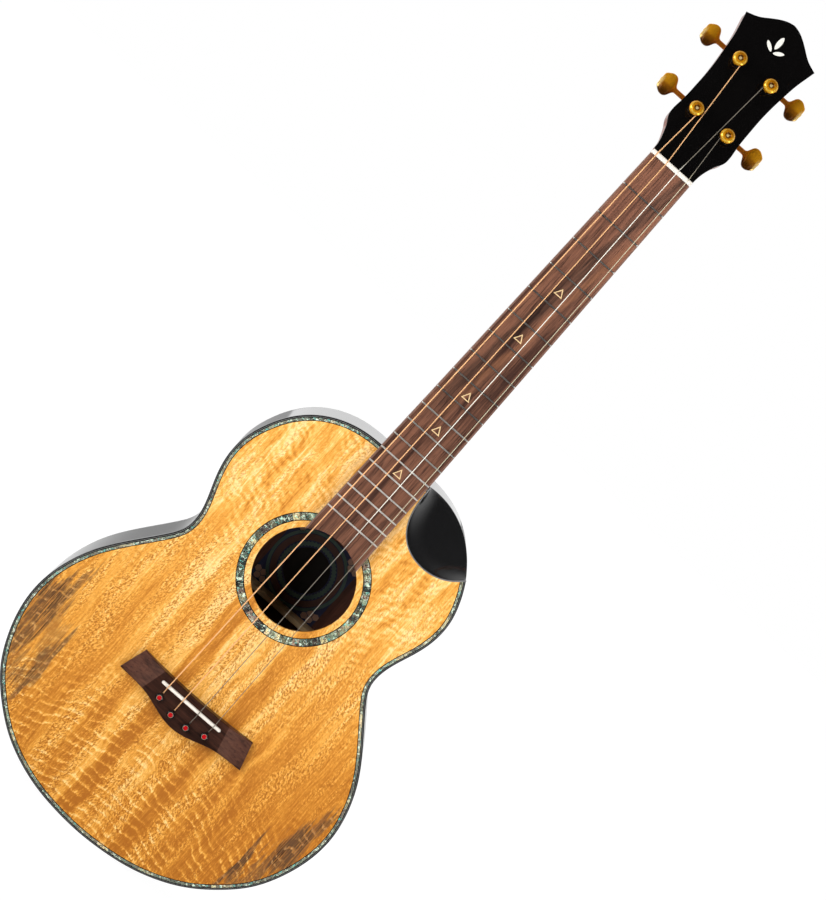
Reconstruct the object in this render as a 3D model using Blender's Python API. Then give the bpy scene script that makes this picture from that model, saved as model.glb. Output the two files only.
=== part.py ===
# Four-string small-bodied acoustic guitar (baritone size), modelled as an assembly.
#
# Frame: +Z runs up the neck, the soundboard faces -Y, +X is the treble side.
# The origin is the bottom centre of the whole instrument's box: on the centre
# line, level with the tail end of the body.  Shapes are laid out in millimetres
# with y = 0 on the soundboard's face, turned into metres when a mesh is made,
# and the finished instrument is moved forward by Y_CENTRE at the very end.
import bpy
import bmesh
import math
import numpy as np

MM = 0.001

# ------------------------------------------------------- driving dimensions (mm)
SCALE_LENGTH = 510.0          # nut to saddle, open string
BODY_LENGTH = 359.0           # tail end to the neck joint
BODY_DEPTH = 80.0             # soundboard face to back face
Y_CENTRE = 33.8               # soundboard's face to the middle of the overall depth
BODY_FRET = 14                # the fret that stands over the neck joint
FRET_COUNT = 19
GAP = 0.3                     # play between neighbouring pieces


def fret_distance(fret):
    """Distance of a fret from the nut."""
    return SCALE_LENGTH * (1 - 2 ** (-fret / 12.0))


NUT_Z = BODY_LENGTH + fret_distance(BODY_FRET)

TOP_T = 2.8                   # soundboard thickness
BACK_T = 2.8
SIDE_T = 2.2
BIND_W = 2.5                  # binding width, seen from the front
BIND_H = 4.5                  # binding height, seen from the side
INSIDE_TOP = TOP_T + GAP      # depths between which the inner pieces stand
INSIDE_BACK = BODY_DEPTH - BACK_T - GAP

HOLE_Z = NUT_Z - 393.3        # sound hole centre
HOLE_R = 38.2

BOARD_T = 5.5                 # fingerboard thickness
BOARD_Y = -GAP - BOARD_T      # fingerboard's playing face
BOARD_HALF_NUT = 18.4
BOARD_FLARE = 0.0157          # growth of the half width per mm from the nut

NUT_T, NUT_TOP = 3.6, 8.3

HEAD_TILT = math.radians(13.0)
HEAD_Z = NUT_Z + NUT_T + 0.3
HEAD_T = 13.0
HEAD_FACE = 0.1               # head's front face, in the head's own frame
POST_X = 14.75
POST_S = (39.8, 88.8)         # post positions along the head: outer, inner strings

SADDLE_D0, SADDLE_D1 = 513.6, 516.6    # saddle's two faces, from the nut
SADDLE_Z = (NUT_Z - SADDLE_D1 + NUT_Z - SADDLE_D0) / 2
SADDLE_HALF = 27.8
SADDLE_TOP = 11.6
SADDLE_CROWN = 0.9            # fall of the saddle's top from middle to ends

# String number, side (+1 treble, -1 bass), place (0 outer, 1 inner).
STRINGS = [(1, 1, 0), (2, 1, 1), (3, -1, 1), (4, -1, 0)]
STRING_R = (0.34, 0.36, 0.38, 0.42)    # string 1 (treble) to string 4 (bass)
STRING_X_NUT = (14.55, 5.0)            # this and the next three: outer, inner
STRING_X_SADDLE = (21.75, 7.3)
PIN_X = (21.5, 7.2)
PIN_D = (525.3, 529.5)                 # from the nut

# Half of the body outline as (x, z), from the tail end up the treble side to the neck joint.
OUTLINE = [
    (0, 0), (22, 1.2), (44, 4.6), (66, 11.4), (86, 21.4), (105, 36), (121, 53),
    (133, 75), (140, 99), (141.2, 119), (137.5, 140), (127, 165), (111.5, 187.5),
    (96, 207.5), (88.3, 221), (87.4, 231.5), (91, 247), (96.6, 262.5), (100.4, 279),
    (100.2, 295), (95.6, 311), (86, 329), (73, 343), (57, 352.6), (42, 357.3),
    (27, 359), (12, 359), (0, 359)]
# Inner edge of the scooped bevel on the treble shoulder as (x, z), from the neck outwards.
SCOOP = [
    (24.2, 359.0), (24.6, 349), (26.2, 338), (31.0, 326), (40.5, 316.5), (54, 312.0),
    (67, 312.6), (78.5, 317.3), (88.6, 326.0)]
SCOOP_DEPTH = 24.0
# Half of the head outline as (half width, distance along the head).
HEAD_OUTLINE = [
    (18.6, -0.4), (18.9, 4), (19.8, 9), (21.6, 15), (23.6, 20), (26.6, 25.6), (27.1, 28.6),
    (26.3, 40), (25.8, 54), (25.7, 66), (26.4, 80), (27.8, 94), (29.4, 105), (31.3, 113.5),
    (32.8, 120.5), (30.2, 122.6), (24.6, 124.4), (17.6, 128.6), (10.6, 133.4),
    (4.6, 136.4), (0, 137.4)]

for old_object in list(bpy.data.objects):
    bpy.data.objects.remove(old_object, do_unlink=True)


# ------------------------------------------------------------------ materials
def make_material(name, color, roughness, metallic=0.0):
    mat = bpy.data.materials.new(name)
    mat.use_nodes = True
    shader = mat.node_tree.nodes["Principled BSDF"]
    shader.inputs["Base Color"].default_value = (*color, 1.0)
    shader.inputs["Roughness"].default_value = roughness
    shader.inputs["Metallic"].default_value = metallic
    mat.diffuse_color = (*color, 1.0)
    return mat


MANGO = make_material("mango_top", color=(0.72, 0.42, 0.12), roughness=0.25)
BLACK = make_material("gloss_black", color=(0.012, 0.012, 0.013), roughness=0.08)
BINDING = make_material("black_binding", color=(0.015, 0.014, 0.013), roughness=0.15)
SPRUCE = make_material("brace_spruce", color=(0.70, 0.52, 0.30), roughness=0.6)
MAHOGANY = make_material("neck_mahogany", color=(0.23, 0.075, 0.035), roughness=0.35)
ROSEWOOD = make_material("board_rosewood", color=(0.14, 0.06, 0.035), roughness=0.45)
BRIDGEWOOD = make_material("bridge_rosewood", color=(0.09, 0.035, 0.022), roughness=0.4)
BONE = make_material("bone", color=(0.86, 0.82, 0.72), roughness=0.4)
ABALONE = make_material("abalone", color=(0.25, 0.42, 0.40), roughness=0.2)
STEEL = make_material("rod_steel", color=(0.35, 0.35, 0.36), roughness=0.4, metallic=1.0)
NICKEL = make_material("fret_nickel", color=(0.66, 0.65, 0.62), roughness=0.28, metallic=1.0)
GOLD = make_material("gold_plate", color=(0.83, 0.55, 0.20), roughness=0.18, metallic=1.0)
WOUND = make_material("string_wound", color=(0.70, 0.36, 0.17), roughness=0.35, metallic=1.0)
PLAIN = make_material("string_plain", color=(0.80, 0.80, 0.78), roughness=0.3)
PIN = make_material("pin_black", color=(0.01, 0.01, 0.01), roughness=0.2)


# -------------------------------------------------------------------- objects
def add(name, shape, mat, location=(0, 0, 0), parent=None, smooth=None):
    """Closed mesh object from (verts, faces) in mm; smooth is the sharp-edge angle, degrees."""
    verts, faces = shape
    mesh = bpy.data.meshes.new(name)
    mesh.from_pydata([(x * MM, y * MM, z * MM) for x, y, z in verts], [], faces)
    bm = bmesh.new()
    bm.from_mesh(mesh)
    bmesh.ops.recalc_face_normals(bm, faces=bm.faces)
    bm.to_mesh(mesh)
    bm.free()
    if smooth:
        mesh.shade_smooth()
        mesh.set_sharp_from_angle(angle=math.radians(smooth))
    if mat is not None:
        mesh.materials.append(mat)
    obj = bpy.data.objects.new(name, mesh)
    bpy.context.collection.objects.link(obj)
    obj.location = [value * MM for value in location]
    obj.parent = parent
    return obj


def helper(name, shape, **place):
    """Object that only serves in booleans."""
    obj = add(name, shape, None, **place)
    obj.hide_render = True
    obj.display_type = "WIRE"
    return obj


def boolean(target, other, operation="DIFFERENCE"):
    modifier = target.modifiers.new(operation.lower(), "BOOLEAN")
    modifier.operation = operation
    modifier.solver = "EXACT"
    modifier.object = other


def cut(target, name, shape, **place):
    boolean(target, helper(name, shape, **place))


def join(target, name, shape, **place):
    boolean(target, helper(name, shape, **place), "UNION")


# --------------------------------------------- shapes, as (vertices, faces)
def loft(rings, closed=False):
    """Rings of equal length joined by quads; capped, or joined end to end."""
    size, count = len(rings[0]), len(rings)
    verts = [tuple(point) for ring in rings for point in ring]
    faces = []
    for i in range(count if closed else count - 1):
        this, after = i * size, ((i + 1) % count) * size
        for j in range(size):
            k = (j + 1) % size
            faces.append((this + j, this + k, after + k, after + j))
    if not closed:
        faces.append(tuple(range(size - 1, -1, -1)))
        faces.append(tuple(range((count - 1) * size, count * size)))
    return verts, faces


def bar_x(section, x0, x1):
    """A polygon of (y, z) points drawn out along X."""
    return loft([[(x, y, z) for y, z in section] for x in (x0, x1)])


def bar_y(section, y0, y1):
    """A polygon of (x, z) points drawn out along Y."""
    return loft([[(x, y, z) for x, z in section] for y in (y0, y1)])


def bar_z(section, z0, z1):
    """A polygon of (x, y) points drawn out along Z."""
    return loft([[(x, y, z) for x, y in section] for z in (z0, z1)])


def block(x_range, y_range, z_range):
    (x0, x1), (z0, z1) = x_range, z_range
    return bar_y([(x0, z0), (x1, z0), (x1, z1), (x0, z1)], *y_range)


def band(edge, other_edge, y0, y1):
    """Closed frame between two (x, z) loops of equal length."""
    return loft([[(xa, y0, za), (xa, y1, za), (xb, y1, zb), (xb, y0, zb)]
                 for (xa, za), (xb, zb) in zip(edge, other_edge)], closed=True)


def circle(radius, count, centre=(0, 0)):
    angles = [2 * math.pi * i / count for i in range(count)]
    return [(centre[0] + radius * math.cos(a), centre[1] + radius * math.sin(a)) for a in angles]


def lathe_y(profile, count):
    """Turned shape about the Y axis; profile is (radius, y), ends on small flats."""
    return loft([[(x, y, z) for x, z in circle(radius, count)] for radius, y in profile])


def merge(shapes):
    """Several separate shapes as one mesh."""
    verts, faces = [], []
    for part_verts, part_faces in shapes:
        base = len(verts)
        verts += part_verts
        faces += [tuple(i + base for i in face) for face in part_faces]
    return verts, faces


def mirrored(points):
    """(x, z) points on the other side of the centre line, in reverse order."""
    return [(-x, z) for x, z in reversed(points)]


def signed_power(value, power):
    return math.copysign(abs(value) ** power, value)


def half_round(steps, across_power, out_power):
    """Half of a squared circle as (across, out) pairs, across running from 1 to -1."""
    pairs = []
    for k in range(steps + 1):
        angle = math.pi * k / steps
        out = math.sin(angle)
        # both ends lie exactly at 0
        pairs.append((signed_power(math.cos(angle), across_power),
                      out ** out_power if out > 1e-9 else 0.0))
    return pairs


# --------------------------------------------------------------------- curves
def cubic_spline(points, closed):
    """Cubic spline with chord lengths as its parameter; returns its function and knots."""
    points = np.array(points, float)
    if closed:
        points = np.vstack([points, points[:1]])
    span = np.sqrt(((points[1:] - points[:-1]) ** 2).sum(1))
    slope = (points[1:] - points[:-1]) / span[:, None]
    knots = np.concatenate([[0], np.cumsum(span)])
    count = len(points)
    system = np.zeros((count, count))
    target = np.zeros((count, 2))
    for i in range(1, count - 1):
        system[i, i - 1:i + 2] = span[i - 1], 2 * (span[i - 1] + span[i]), span[i]
        target[i] = 6 * (slope[i] - slope[i - 1])
    if closed:
        # bend and direction agree where the ends meet
        system[0, 0], system[0, -1] = 1, -1
        system[-1, :2] = 2 * span[0], span[0]
        system[-1, -2:] = span[-1], 2 * span[-1]
        target[-1] = 6 * (slope[0] - slope[-1])
    else:
        system[0, 0] = system[-1, -1] = 1
    second = np.linalg.solve(system, target)

    def at(params):
        params = np.asarray(params, float)
        i = np.clip(np.searchsorted(knots, params, side="right") - 1, 0, count - 2)
        left = (knots[i + 1] - params)[:, None]
        right = (params - knots[i])[:, None]
        width = span[i][:, None]
        return ((second[i] * left ** 3 + second[i + 1] * right ** 3) / (6 * width)
                + (points[i] / width - second[i] * width / 6) * left
                + (points[i + 1] / width - second[i + 1] * width / 6) * right)
    return at, knots


def directions(points):
    """Unit tangents, normals to the right of travel, and step lengths along a curve."""
    tangents = np.gradient(points, axis=0)
    steps = np.sqrt((tangents ** 2).sum(1))
    tangents /= steps[:, None]
    return tangents, np.stack([tangents[:, 1], -tangents[:, 0]], 1), steps


# The half outline sampled densely from tail to neck; stations are indices into EDGE.
LAST = 3000
MIDDLE = LAST // 2
outline_at, outline_knots = cubic_spline(OUTLINE + mirrored(OUTLINE[1:-1]), closed=True)
EDGE = outline_at(np.linspace(0, outline_knots[len(OUTLINE) - 1], LAST + 1))
edge_tangents, EDGE_NORMALS, edge_steps = directions(EDGE)
EDGE_NORMALS[0], EDGE_NORMALS[-1] = (0, -1), (0, 1)
EDGE_LENGTHS = np.concatenate([[0], np.cumsum((edge_steps[1:] + edge_steps[:-1]) / 2)])

# Station density follows the bend, averaged over a window of samples.
BEND_WINDOW = 81
STRAIGHT_DENSITY, BEND_DENSITY = 0.35, 60
edge_heading = np.unwrap(np.arctan2(edge_tangents[:, 1], edge_tangents[:, 0]))
edge_bend = np.abs(np.gradient(edge_heading)) / edge_steps
edge_bend = np.convolve(np.pad(edge_bend, BEND_WINDOW // 2, mode="edge"),
                        np.ones(BEND_WINDOW) / BEND_WINDOW, "valid")
edge_density = STRAIGHT_DENSITY + np.sqrt(edge_bend * BEND_DENSITY)
EDGE_WEIGHTS = np.concatenate([[0], np.cumsum(edge_density[1:] * np.diff(EDGE_LENGTHS))])

HALF_STEPS = 36               # segments in half a body outline


def stations(count, first=0, last=LAST):
    """Indices along the half outline, closer together where it bends."""
    weights = np.linspace(EDGE_WEIGHTS[first], EDGE_WEIGHTS[last], count + 1)
    index = np.round(np.interp(weights, EDGE_WEIGHTS, np.arange(LAST + 1))).astype(int)
    return list(np.clip(index, first, last))


def inset_edge(index, inset):
    return [(x, z) for x, z in EDGE[index] - inset * EDGE_NORMALS[index]]


def body_loop(inset):
    """Closed outline polygon, inset from the body's outside."""
    right = inset_edge(stations(HALF_STEPS), inset)
    return right + mirrored(right[1:-1])


# -------------------------------------------------------------- scooped bevel
scoop_at, scoop_knots = cubic_spline(SCOOP, closed=False)


def nearest_station(point):
    return int(np.argmin(((EDGE - np.array(point)) ** 2).sum(1)))


SCOOP_NECK_END = nearest_station(SCOOP[0])
SCOOP_WAIST_END = nearest_station(SCOOP[-1])
SCOOP_T = [0.02 + 0.96 * k / 14 for k in range(15)]     # 0 at the neck end, 1 at the waist end


def scoop_inner(t):
    return scoop_at([t * scoop_knots[-1]])[0]


def scoop_outer_index(t):
    start, end = EDGE_LENGTHS[SCOOP_NECK_END], EDGE_LENGTHS[SCOOP_WAIST_END]
    return int(round(np.interp(start + (end - start) * t, EDGE_LENGTHS, np.arange(LAST + 1))))


def scoop_dip(t):
    """How far the bevel's outer edge lies below the binding."""
    return SCOOP_DEPTH * math.sin(math.pi * t) ** 0.8


def edge_dip(i):
    """The same, at an outline index; zero away from the bevel."""
    if i <= SCOOP_WAIST_END or i >= SCOOP_NECK_END:
        return 0.0
    start, end = EDGE_LENGTHS[SCOOP_NECK_END], EDGE_LENGTHS[SCOOP_WAIST_END]
    return scoop_dip((EDGE_LENGTHS[i] - start) / (end - start))


def scoop_prism():
    """Prism over the bevel, with play, reaching past the body's outside."""
    inner = np.array([scoop_inner(t) for t in np.linspace(0, 1, 19)])
    inner = inner + GAP * directions(inner)[1]
    inner[0] = (inner[0][0], 366)
    inner[-1] += (9, 4)
    outside = [(112, 340), (100, 372)]
    return bar_y([(float(x), float(z)) for x, z in inner] + outside, -1.5, BIND_H + 0.15)


def build_scoop_bevel():
    """Curved shell from the scoop's inner edge down to the side."""
    steps = 5                 # across the bevel
    bulge = 0.14
    thickness = 2.0
    rings = []
    for t in SCOOP_T:
        i = scoop_outer_index(t)
        start, end = scoop_inner(t), EDGE[i]
        edge_y = BIND_H + scoop_dip(t)
        inward = min(SIDE_T, 0.5 * float(np.hypot(*(end - start))))
        outer, inner = [], []
        for j in range(steps + 1):
            v = j / steps
            x, z = start * (1 - v) + end * v
            y = edge_y * (v + bulge * math.sin(math.pi * v))
            outer.append((x, y, z))
            x, z = (x, z) - EDGE_NORMALS[i] * inward * v
            inner.append((x, y + thickness * (1 - v), z))
        rings.append(outer + inner[::-1])
    add("scoop_bevel", loft(rings), BLACK, smooth=40)


# ------------------------------------------------------------------- the body
ROSETTE_R0, ROSETTE_R1, ROSETTE_T = 43.0, 49.2, 1.0
ROSETTE_PLAY = 0.2


def rosette_ring(play, y0, y1):
    inner, outer = (circle(radius, 40, (0, HOLE_Z))
                    for radius in (ROSETTE_R0 - play, ROSETTE_R1 + play))
    return band(inner, outer, y0, y1)


def build_soundboard(scoop_cutter):
    board = add("soundboard", bar_y(body_loop(BIND_W + GAP), 0, TOP_T), MANGO)
    cut(board, "cut_sound_hole", bar_y(circle(HOLE_R, 40, (0, HOLE_Z)), -2, 6))
    cut(board, "cut_rosette_channel", rosette_ring(ROSETTE_PLAY, -1, ROSETTE_T + 0.1))
    boolean(board, scoop_cutter)
    add("rosette", rosette_ring(0, 0, ROSETTE_T), ABALONE, smooth=30)
    return board


def build_back():
    shape = bar_y(body_loop(BIND_W + GAP), BODY_DEPTH - BACK_T, BODY_DEPTH)
    add("back_plate", shape, BLACK)


def build_bindings(scoop_cutter):
    outer, inner = body_loop(0.0), body_loop(BIND_W)
    top = add("top_binding", band(outer, inner, 0, BIND_H), BINDING, smooth=35)
    boolean(top, scoop_cutter)
    shape = band(outer, inner, BODY_DEPTH - BIND_H, BODY_DEPTH)
    add("back_binding", shape, BINDING, smooth=35)


LINING_W = 7.5                # how far the linings reach in from the outside
LINING_H = 5.0
LINING_SLOPE = 5.0            # depth over which a lining tapers into the side
NARROW_HALF = 42              # nearer the centre line than this the linings are narrow
NARROW_W, NARROW_H = BIND_W + 0.5, 4.0
SIDE_NECK_X = 8.0             # where each side stops at the neck end


def lining_drop(i, dip):
    """Extra depth of the treble side's front lining, keeping it under the bevel's shell."""
    if i > SCOOP_WAIST_END:
        return dip + min(7.5, 2.6 * dip)
    # starts to dip a little before the bevel's tip
    before = EDGE_LENGTHS[SCOOP_WAIST_END] - EDGE_LENGTHS[i]
    return 8.5 * max(0.0, 1 - max(0.0, before - 8) / 10.0)


def build_side(name, side):
    """Bent side with its two linings; the treble side's front edge dips under the bevel."""
    tail = int(np.argmin(np.abs(EDGE[:MIDDLE, 0] - GAP / 2)))
    neck = MIDDLE + int(np.argmin(np.abs(EDGE[MIDDLE:, 0] - SIDE_NECK_X)))
    if side > 0:
        index = (stations(29, tail, SCOOP_WAIST_END)
                 + [scoop_outer_index(t) for t in reversed(SCOOP_T)]
                 + stations(3, SCOOP_NECK_END, neck))
    else:
        index = stations(HALF_STEPS, tail, neck)
    back_edge = BODY_DEPTH - BIND_H - GAP
    step = BIND_W + GAP + 0.12
    rings = []
    for i in index:
        dip = edge_dip(i) if side > 0 else 0.0
        drop = lining_drop(i, dip) if side > 0 else 0.0
        narrow = abs(EDGE[i, 0]) < NARROW_HALF
        width = NARROW_W if narrow else LINING_W
        height = NARROW_H if narrow else LINING_H
        front_edge = BIND_H + GAP + dip
        front_lining = INSIDE_TOP + drop
        rim = 1.5 if dip > 0 else step
        # (inset, y), from the outside of the front edge round the back to the front lining
        profile = [
            (0, front_edge), (0, back_edge), (step, back_edge), (step, INSIDE_BACK),
            (width, INSIDE_BACK), (width, INSIDE_BACK - height),
            (SIDE_T, INSIDE_BACK - height - LINING_SLOPE),
            (SIDE_T, front_lining + height + LINING_SLOPE),
            (width, front_lining + height), (width, front_lining),
            (rim, front_lining), (rim, front_edge)]
        ring = []
        for inset, y in profile:
            x, z = EDGE[i] - inset * EDGE_NORMALS[i]
            ring.append((side * x, y, z))
        rings.append(ring)
    add(name, loft(rings), BLACK, smooth=30)


def build_neck_block():
    z0, z1 = BODY_LENGTH - 27, BODY_LENGTH - 3.4
    shape = block((-23.5, 23.5), (INSIDE_TOP, INSIDE_BACK), (z0, z1))
    neck_block = add("neck_block", shape, MAHOGANY)
    channel = block((-4.2, 4.2), (1, 13), (BODY_LENGTH - 30, BODY_LENGTH))
    cut(neck_block, "cut_block_channel", channel)


def build_tail_block():
    """Block whose lower face follows the tail end of the body."""
    half_width, inset, top_z = 25, 3.5, 20
    index = [i for i in stations(60) if i < MIDDLE and EDGE[i, 0] < half_width]
    half = inset_edge(index, inset)
    half.append((half[-1][0], top_z))
    shape = bar_y(half + mirrored(half[1:]), INSIDE_TOP, INSIDE_BACK)
    add("tail_block", shape, MAHOGANY)


def brace(start, end, width, foot_y, height, end_height, toward=1):
    """Bar standing on a plate, feathered at both (x, z) ends; toward is its Y direction."""
    x0, z0 = start
    dx, dz = end[0] - x0, end[1] - z0
    length = math.hypot(dx, dz)
    across_x, across_z = -dz / length, dx / length
    rings = []
    for along, rise in ((0, end_height), (0.16, height), (0.84, height), (1, end_height)):
        x, z = x0 + dx * along, z0 + dz * along
        ring = []
        for offset, y in ((-width / 2, foot_y), (width / 2, foot_y),
                          (width / 4, foot_y + toward * rise),
                          (-width / 4, foot_y + toward * rise)):
            ring.append((x + across_x * offset, y, z + across_z * offset))
        rings.append(ring)
    return loft(rings)


def build_braces():
    cross_z = 187.0
    low_x, low_z = 104, cross_z - 91
    high_x, high_z = 82, cross_z + 71.5
    shape = brace((-low_x, low_z), (high_x, high_z), 7, INSIDE_TOP, 12, 3)
    x_brace = add("x_brace", shape, SPRUCE)
    # the second leg is slightly taller, so the tops don't coincide
    leg = brace((low_x, low_z), (-high_x, high_z), 7, INSIDE_TOP, 12.2, 3.1)
    join(x_brace, "cut_x_brace_leg", leg)
    half, z = 74, 210.8
    shape = brace((-half, z), (half, z), 8, INSIDE_BACK, 13, 4, toward=-1)
    add("back_brace", shape, SPRUCE)


# -------------------------------------------------------------- neck and head
NECK_DEPTH_NUT, NECK_DEPTH_HEEL = 14.5, 16.8
# Heel stations: depth y, reach up the neck, half width.
HEEL = [
    (6.0, 62, 21.6), (13.5, 50, 20.8), (20, 33, 19.4), (28, 25.5, 17.6), (40, 20.5, 15.4),
    (54, 17.5, 13.4), (66, 16.0, 12.0), (BODY_DEPTH - 6.5, 15.4, 11.6)]
POST_HOLE_R = 4.0


def board_half(z):
    return BOARD_HALF_NUT + BOARD_FLARE * max(0.0, NUT_Z - z)


def neck_ring(z, front_y, depth, half):
    return [(half * across, front_y + depth * out, z)
            for across, out in half_round(14, 0.86, 0.92)]


def neck_shaft():
    start = BODY_LENGTH + GAP
    rings = []
    for f in (0, 0.12, 0.25, 0.5, 0.75, 1.0):
        z = start + f * (NUT_Z + 1.5 - start)
        depth = NECK_DEPTH_HEEL + (NECK_DEPTH_NUT - NECK_DEPTH_HEEL) * f
        rings.append(neck_ring(z, 0.0, depth, board_half(z)))
    rings.append(neck_ring(HEAD_Z, 0.0, NECK_DEPTH_NUT + 0.3, BOARD_HALF_NUT + 0.1))
    rings.append(neck_ring(HEAD_Z + 5.5, 1.9, NECK_DEPTH_NUT - 0.9, BOARD_HALF_NUT + 0.4))
    return loft(rings)


def heel():
    base = BODY_LENGTH + GAP + 0.06
    return loft([[(half * across, y, base + reach * out)
                  for across, out in half_round(10, 0.7, 0.8)] for y, reach, half in HEEL])


def head_polygon(start):
    """Head outline in the head's frame, its lower edge at the given distance."""
    half = [(HEAD_OUTLINE[0][0], start)] + HEAD_OUTLINE[1:]
    return half + mirrored(half[:-1])


def cut_post_holes(target, prefix, y0, y1, head):
    for side, letter in ((-1, "b"), (1, "t")):
        for s in POST_S:
            hole = bar_y(circle(POST_HOLE_R, 20, (side * POST_X, s)), y0, y1)
            cut(target, "%s_%s_%d" % (prefix, letter, round(s)), hole, parent=head)


def build_head_frame():
    """Empty that carries the head: its Y is depth behind the face, its Z runs along the head."""
    head = bpy.data.objects.new("head_frame", None)
    bpy.context.collection.objects.link(head)
    head.location = (0, 0, HEAD_Z * MM)
    head.rotation_euler = (-HEAD_TILT, 0, 0)
    return head


def build_neck(head):
    neck = add("neck", neck_shaft(), MAHOGANY, smooth=35)
    join(neck, "join_heel", heel())
    slab = bar_y(head_polygon(HEAD_OUTLINE[0][1]), HEAD_FACE, HEAD_T + HEAD_FACE)
    join(neck, "join_head", slab, parent=head)
    cut_post_holes(neck, "cut_post", -2, HEAD_T + 3, head)
    channel = block((-3.4, 3.4), (-1, 9.6), (BODY_LENGTH - 2, NUT_Z - 6))
    cut(neck, "cut_rod_channel", channel)


def build_head_plate(head):
    back_y = HEAD_FACE - GAP
    thickness = 2.0
    shape = bar_y(head_polygon(0.7), back_y - thickness, back_y)
    head_plate = add("headstock_plate", shape, BLACK, parent=head)
    cut_post_holes(head_plate, "cut_plate", -6, 3, head)


def build_truss_rod():
    rod_y = 7.0
    shape = block((-3.1, 3.1), (0.5, 9.3), (BODY_LENGTH + 1.0, NUT_Z - 8))
    rod = add("truss_rod", shape, STEEL)
    rod_end = bar_z(circle(2.0, 12, (0, rod_y)), BODY_LENGTH - 27.5, BODY_LENGTH + 6)
    join(rod, "join_rod_end", rod_end)
    # adjusting nut: a round barrel with a hexagonal socket, turning about the rod's axis
    centre = (0, rod_y, BODY_LENGTH - 34)
    barrel = bar_z(circle(3.3, 18), -5, 6.0)
    nut = add("truss_rod_nut", barrel, STEEL, location=centre, smooth=30)
    cut(nut, "cut_hex_socket", bar_z(circle(2.2, 6), -6, 0.5), location=centre)
    cut(nut, "cut_rod_bore", bar_z(circle(2.3, 12), -0.5, 8), location=centre)


# ------------------------------------------------- fingerboard, frets and nut
FRET_SETBACK = 1.2            # fret ends stop short of the board's edge
FRET_HALF = 2.1 / 2           # half width of a fret's crown
TANG_HALF = 0.25
# Half of a fret's section: z from its middle, y from the board's face.
FRET_SECTION = [
    (-TANG_HALF, 2.0), (-TANG_HALF, -0.06), (-FRET_HALF, -0.06),
    (-FRET_HALF * 0.86, -0.5), (-FRET_HALF * 0.42, -0.93)]


def build_fingerboard():
    """Tapered board whose lower end follows the sound hole; frets sit in its slots."""
    radius = HOLE_R + 0.1
    sweep = math.asin(min(1.0, board_half(HOLE_Z + 30) / radius))
    outline = [(-board_half(NUT_Z), NUT_Z - GAP), (board_half(NUT_Z), NUT_Z - GAP)]
    for k in range(13):
        angle = sweep * (1 - 2 * k / 12.0)
        outline.append((radius * math.sin(angle), HOLE_Z + radius * math.cos(angle)))
    board = add("fingerboard", bar_y(outline, BOARD_Y, -GAP), ROSEWOOD)

    slots = []
    section = FRET_SECTION + mirrored(FRET_SECTION)
    for fret in range(1, FRET_COUNT + 1):
        z = NUT_Z - fret_distance(fret)
        half = board_half(z) - FRET_SETBACK
        slots.append(block((-half - 0.15, half + 0.15), (BOARD_Y - 1, BOARD_Y + 2.2),
                           (z - 0.35, z + 0.35)))
        shape = bar_x([(BOARD_Y + dy, z + dz) for dz, dy in section], -half, half)
        add("fret_%02d" % fret, shape, NICKEL, smooth=50)
    cut(board, "cut_fret_slots", merge(slots))


def build_nut():
    half, slot_floor = 18.3, -7.45
    # y, z from the nut's lower face
    section = [(-GAP, 0), (-NUT_TOP, 0), (-NUT_TOP + 0.1, 1.5), (-NUT_TOP + 2.0, NUT_T),
               (-GAP, NUT_T)]
    nut = add("nut", bar_x([(y, NUT_Z + dz) for y, dz in section], -half, half), BONE)
    slots = []
    for number, side, place in STRINGS:
        x = side * STRING_X_NUT[place]
        half_slot = STRING_R[number - 1] + 0.2
        slots.append(block((x - half_slot, x + half_slot), (-NUT_TOP - 1, slot_floor),
                           (NUT_Z - 1, NUT_Z + NUT_T + 1)))
    cut(nut, "cut_nut_slots", merge(slots))


# ----------------------------------------------------- bridge, saddle and pins
BRIDGE_H = 8.2
WING_DROP = 4.9               # fall in height from the bridge's middle to its tips
CORE_UPPER, CORE_LOWER = 30.8, 35.8    # half widths of the full-height middle at its two edges
WING_UPPER, WING_LOWER = 20.4, 21.7    # added by each wing
BRIDGE_CHAMFER = 0.8
# One rounded end of the saddle slot: x past the straight part, z from its middle.
SLOT_END = [(0, -1.8), (1.3, -1.3), (1.8, 0), (1.3, 1.3), (0, 1.8)]
PIN_HOLE_R = 2.6
PIN_Y = -8.8                  # pins' origin, the underside of their heads
# Bridge pin from its tip to the top of its head: radius, y from its origin.
PIN_PROFILE = [
    (1.7, 23.4), (1.95, 22.4), (2.25, 2.3), (2.3, 0), (2.9, 0), (3.05, -0.5), (2.9, -1.5),
    (2.1, -2.3), (0.9, -2.6)]


def upper_edge(x):
    """Bridge's edge towards the neck."""
    return NUT_Z - (509.1 - 2.1 * min(1.0, abs(x) / 51.0) ** 2)


def lower_edge(x):
    """Bridge's edge towards the tail."""
    bow = math.cos(math.pi / 2 * min(1.0, abs(x) / 41.0))
    return NUT_Z - (528.5 + 8.6 * bow ** 2)


def bridge_shape():
    # position across the middle (-1 to 1), and how far out along a wing (0 to 1)
    columns = [(-1, 1.0), (-1, 0.5), (-1, 0.0)]
    columns += [(-1 + 2 * k / 12.0, 0.0) for k in range(1, 12)]
    columns += [(1, 0.0), (1, 0.5), (1, 1.0)]
    rings = []
    for across, wing in columns:
        xu = across * (CORE_UPPER + wing * WING_UPPER)
        xl = across * (CORE_LOWER + wing * WING_LOWER)
        zu, zl = upper_edge(xu), lower_edge(xl)
        top = -GAP - (BRIDGE_H - wing * WING_DROP)
        shoulder = top + BRIDGE_CHAMFER
        rings.append([(xu, -GAP, zu), (xu, shoulder, zu), (xu, top, zu - BRIDGE_CHAMFER),
                      (xl, top, zl + BRIDGE_CHAMFER), (xl, shoulder, zl), (xl, -GAP, zl)])
    return loft(rings)


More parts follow.
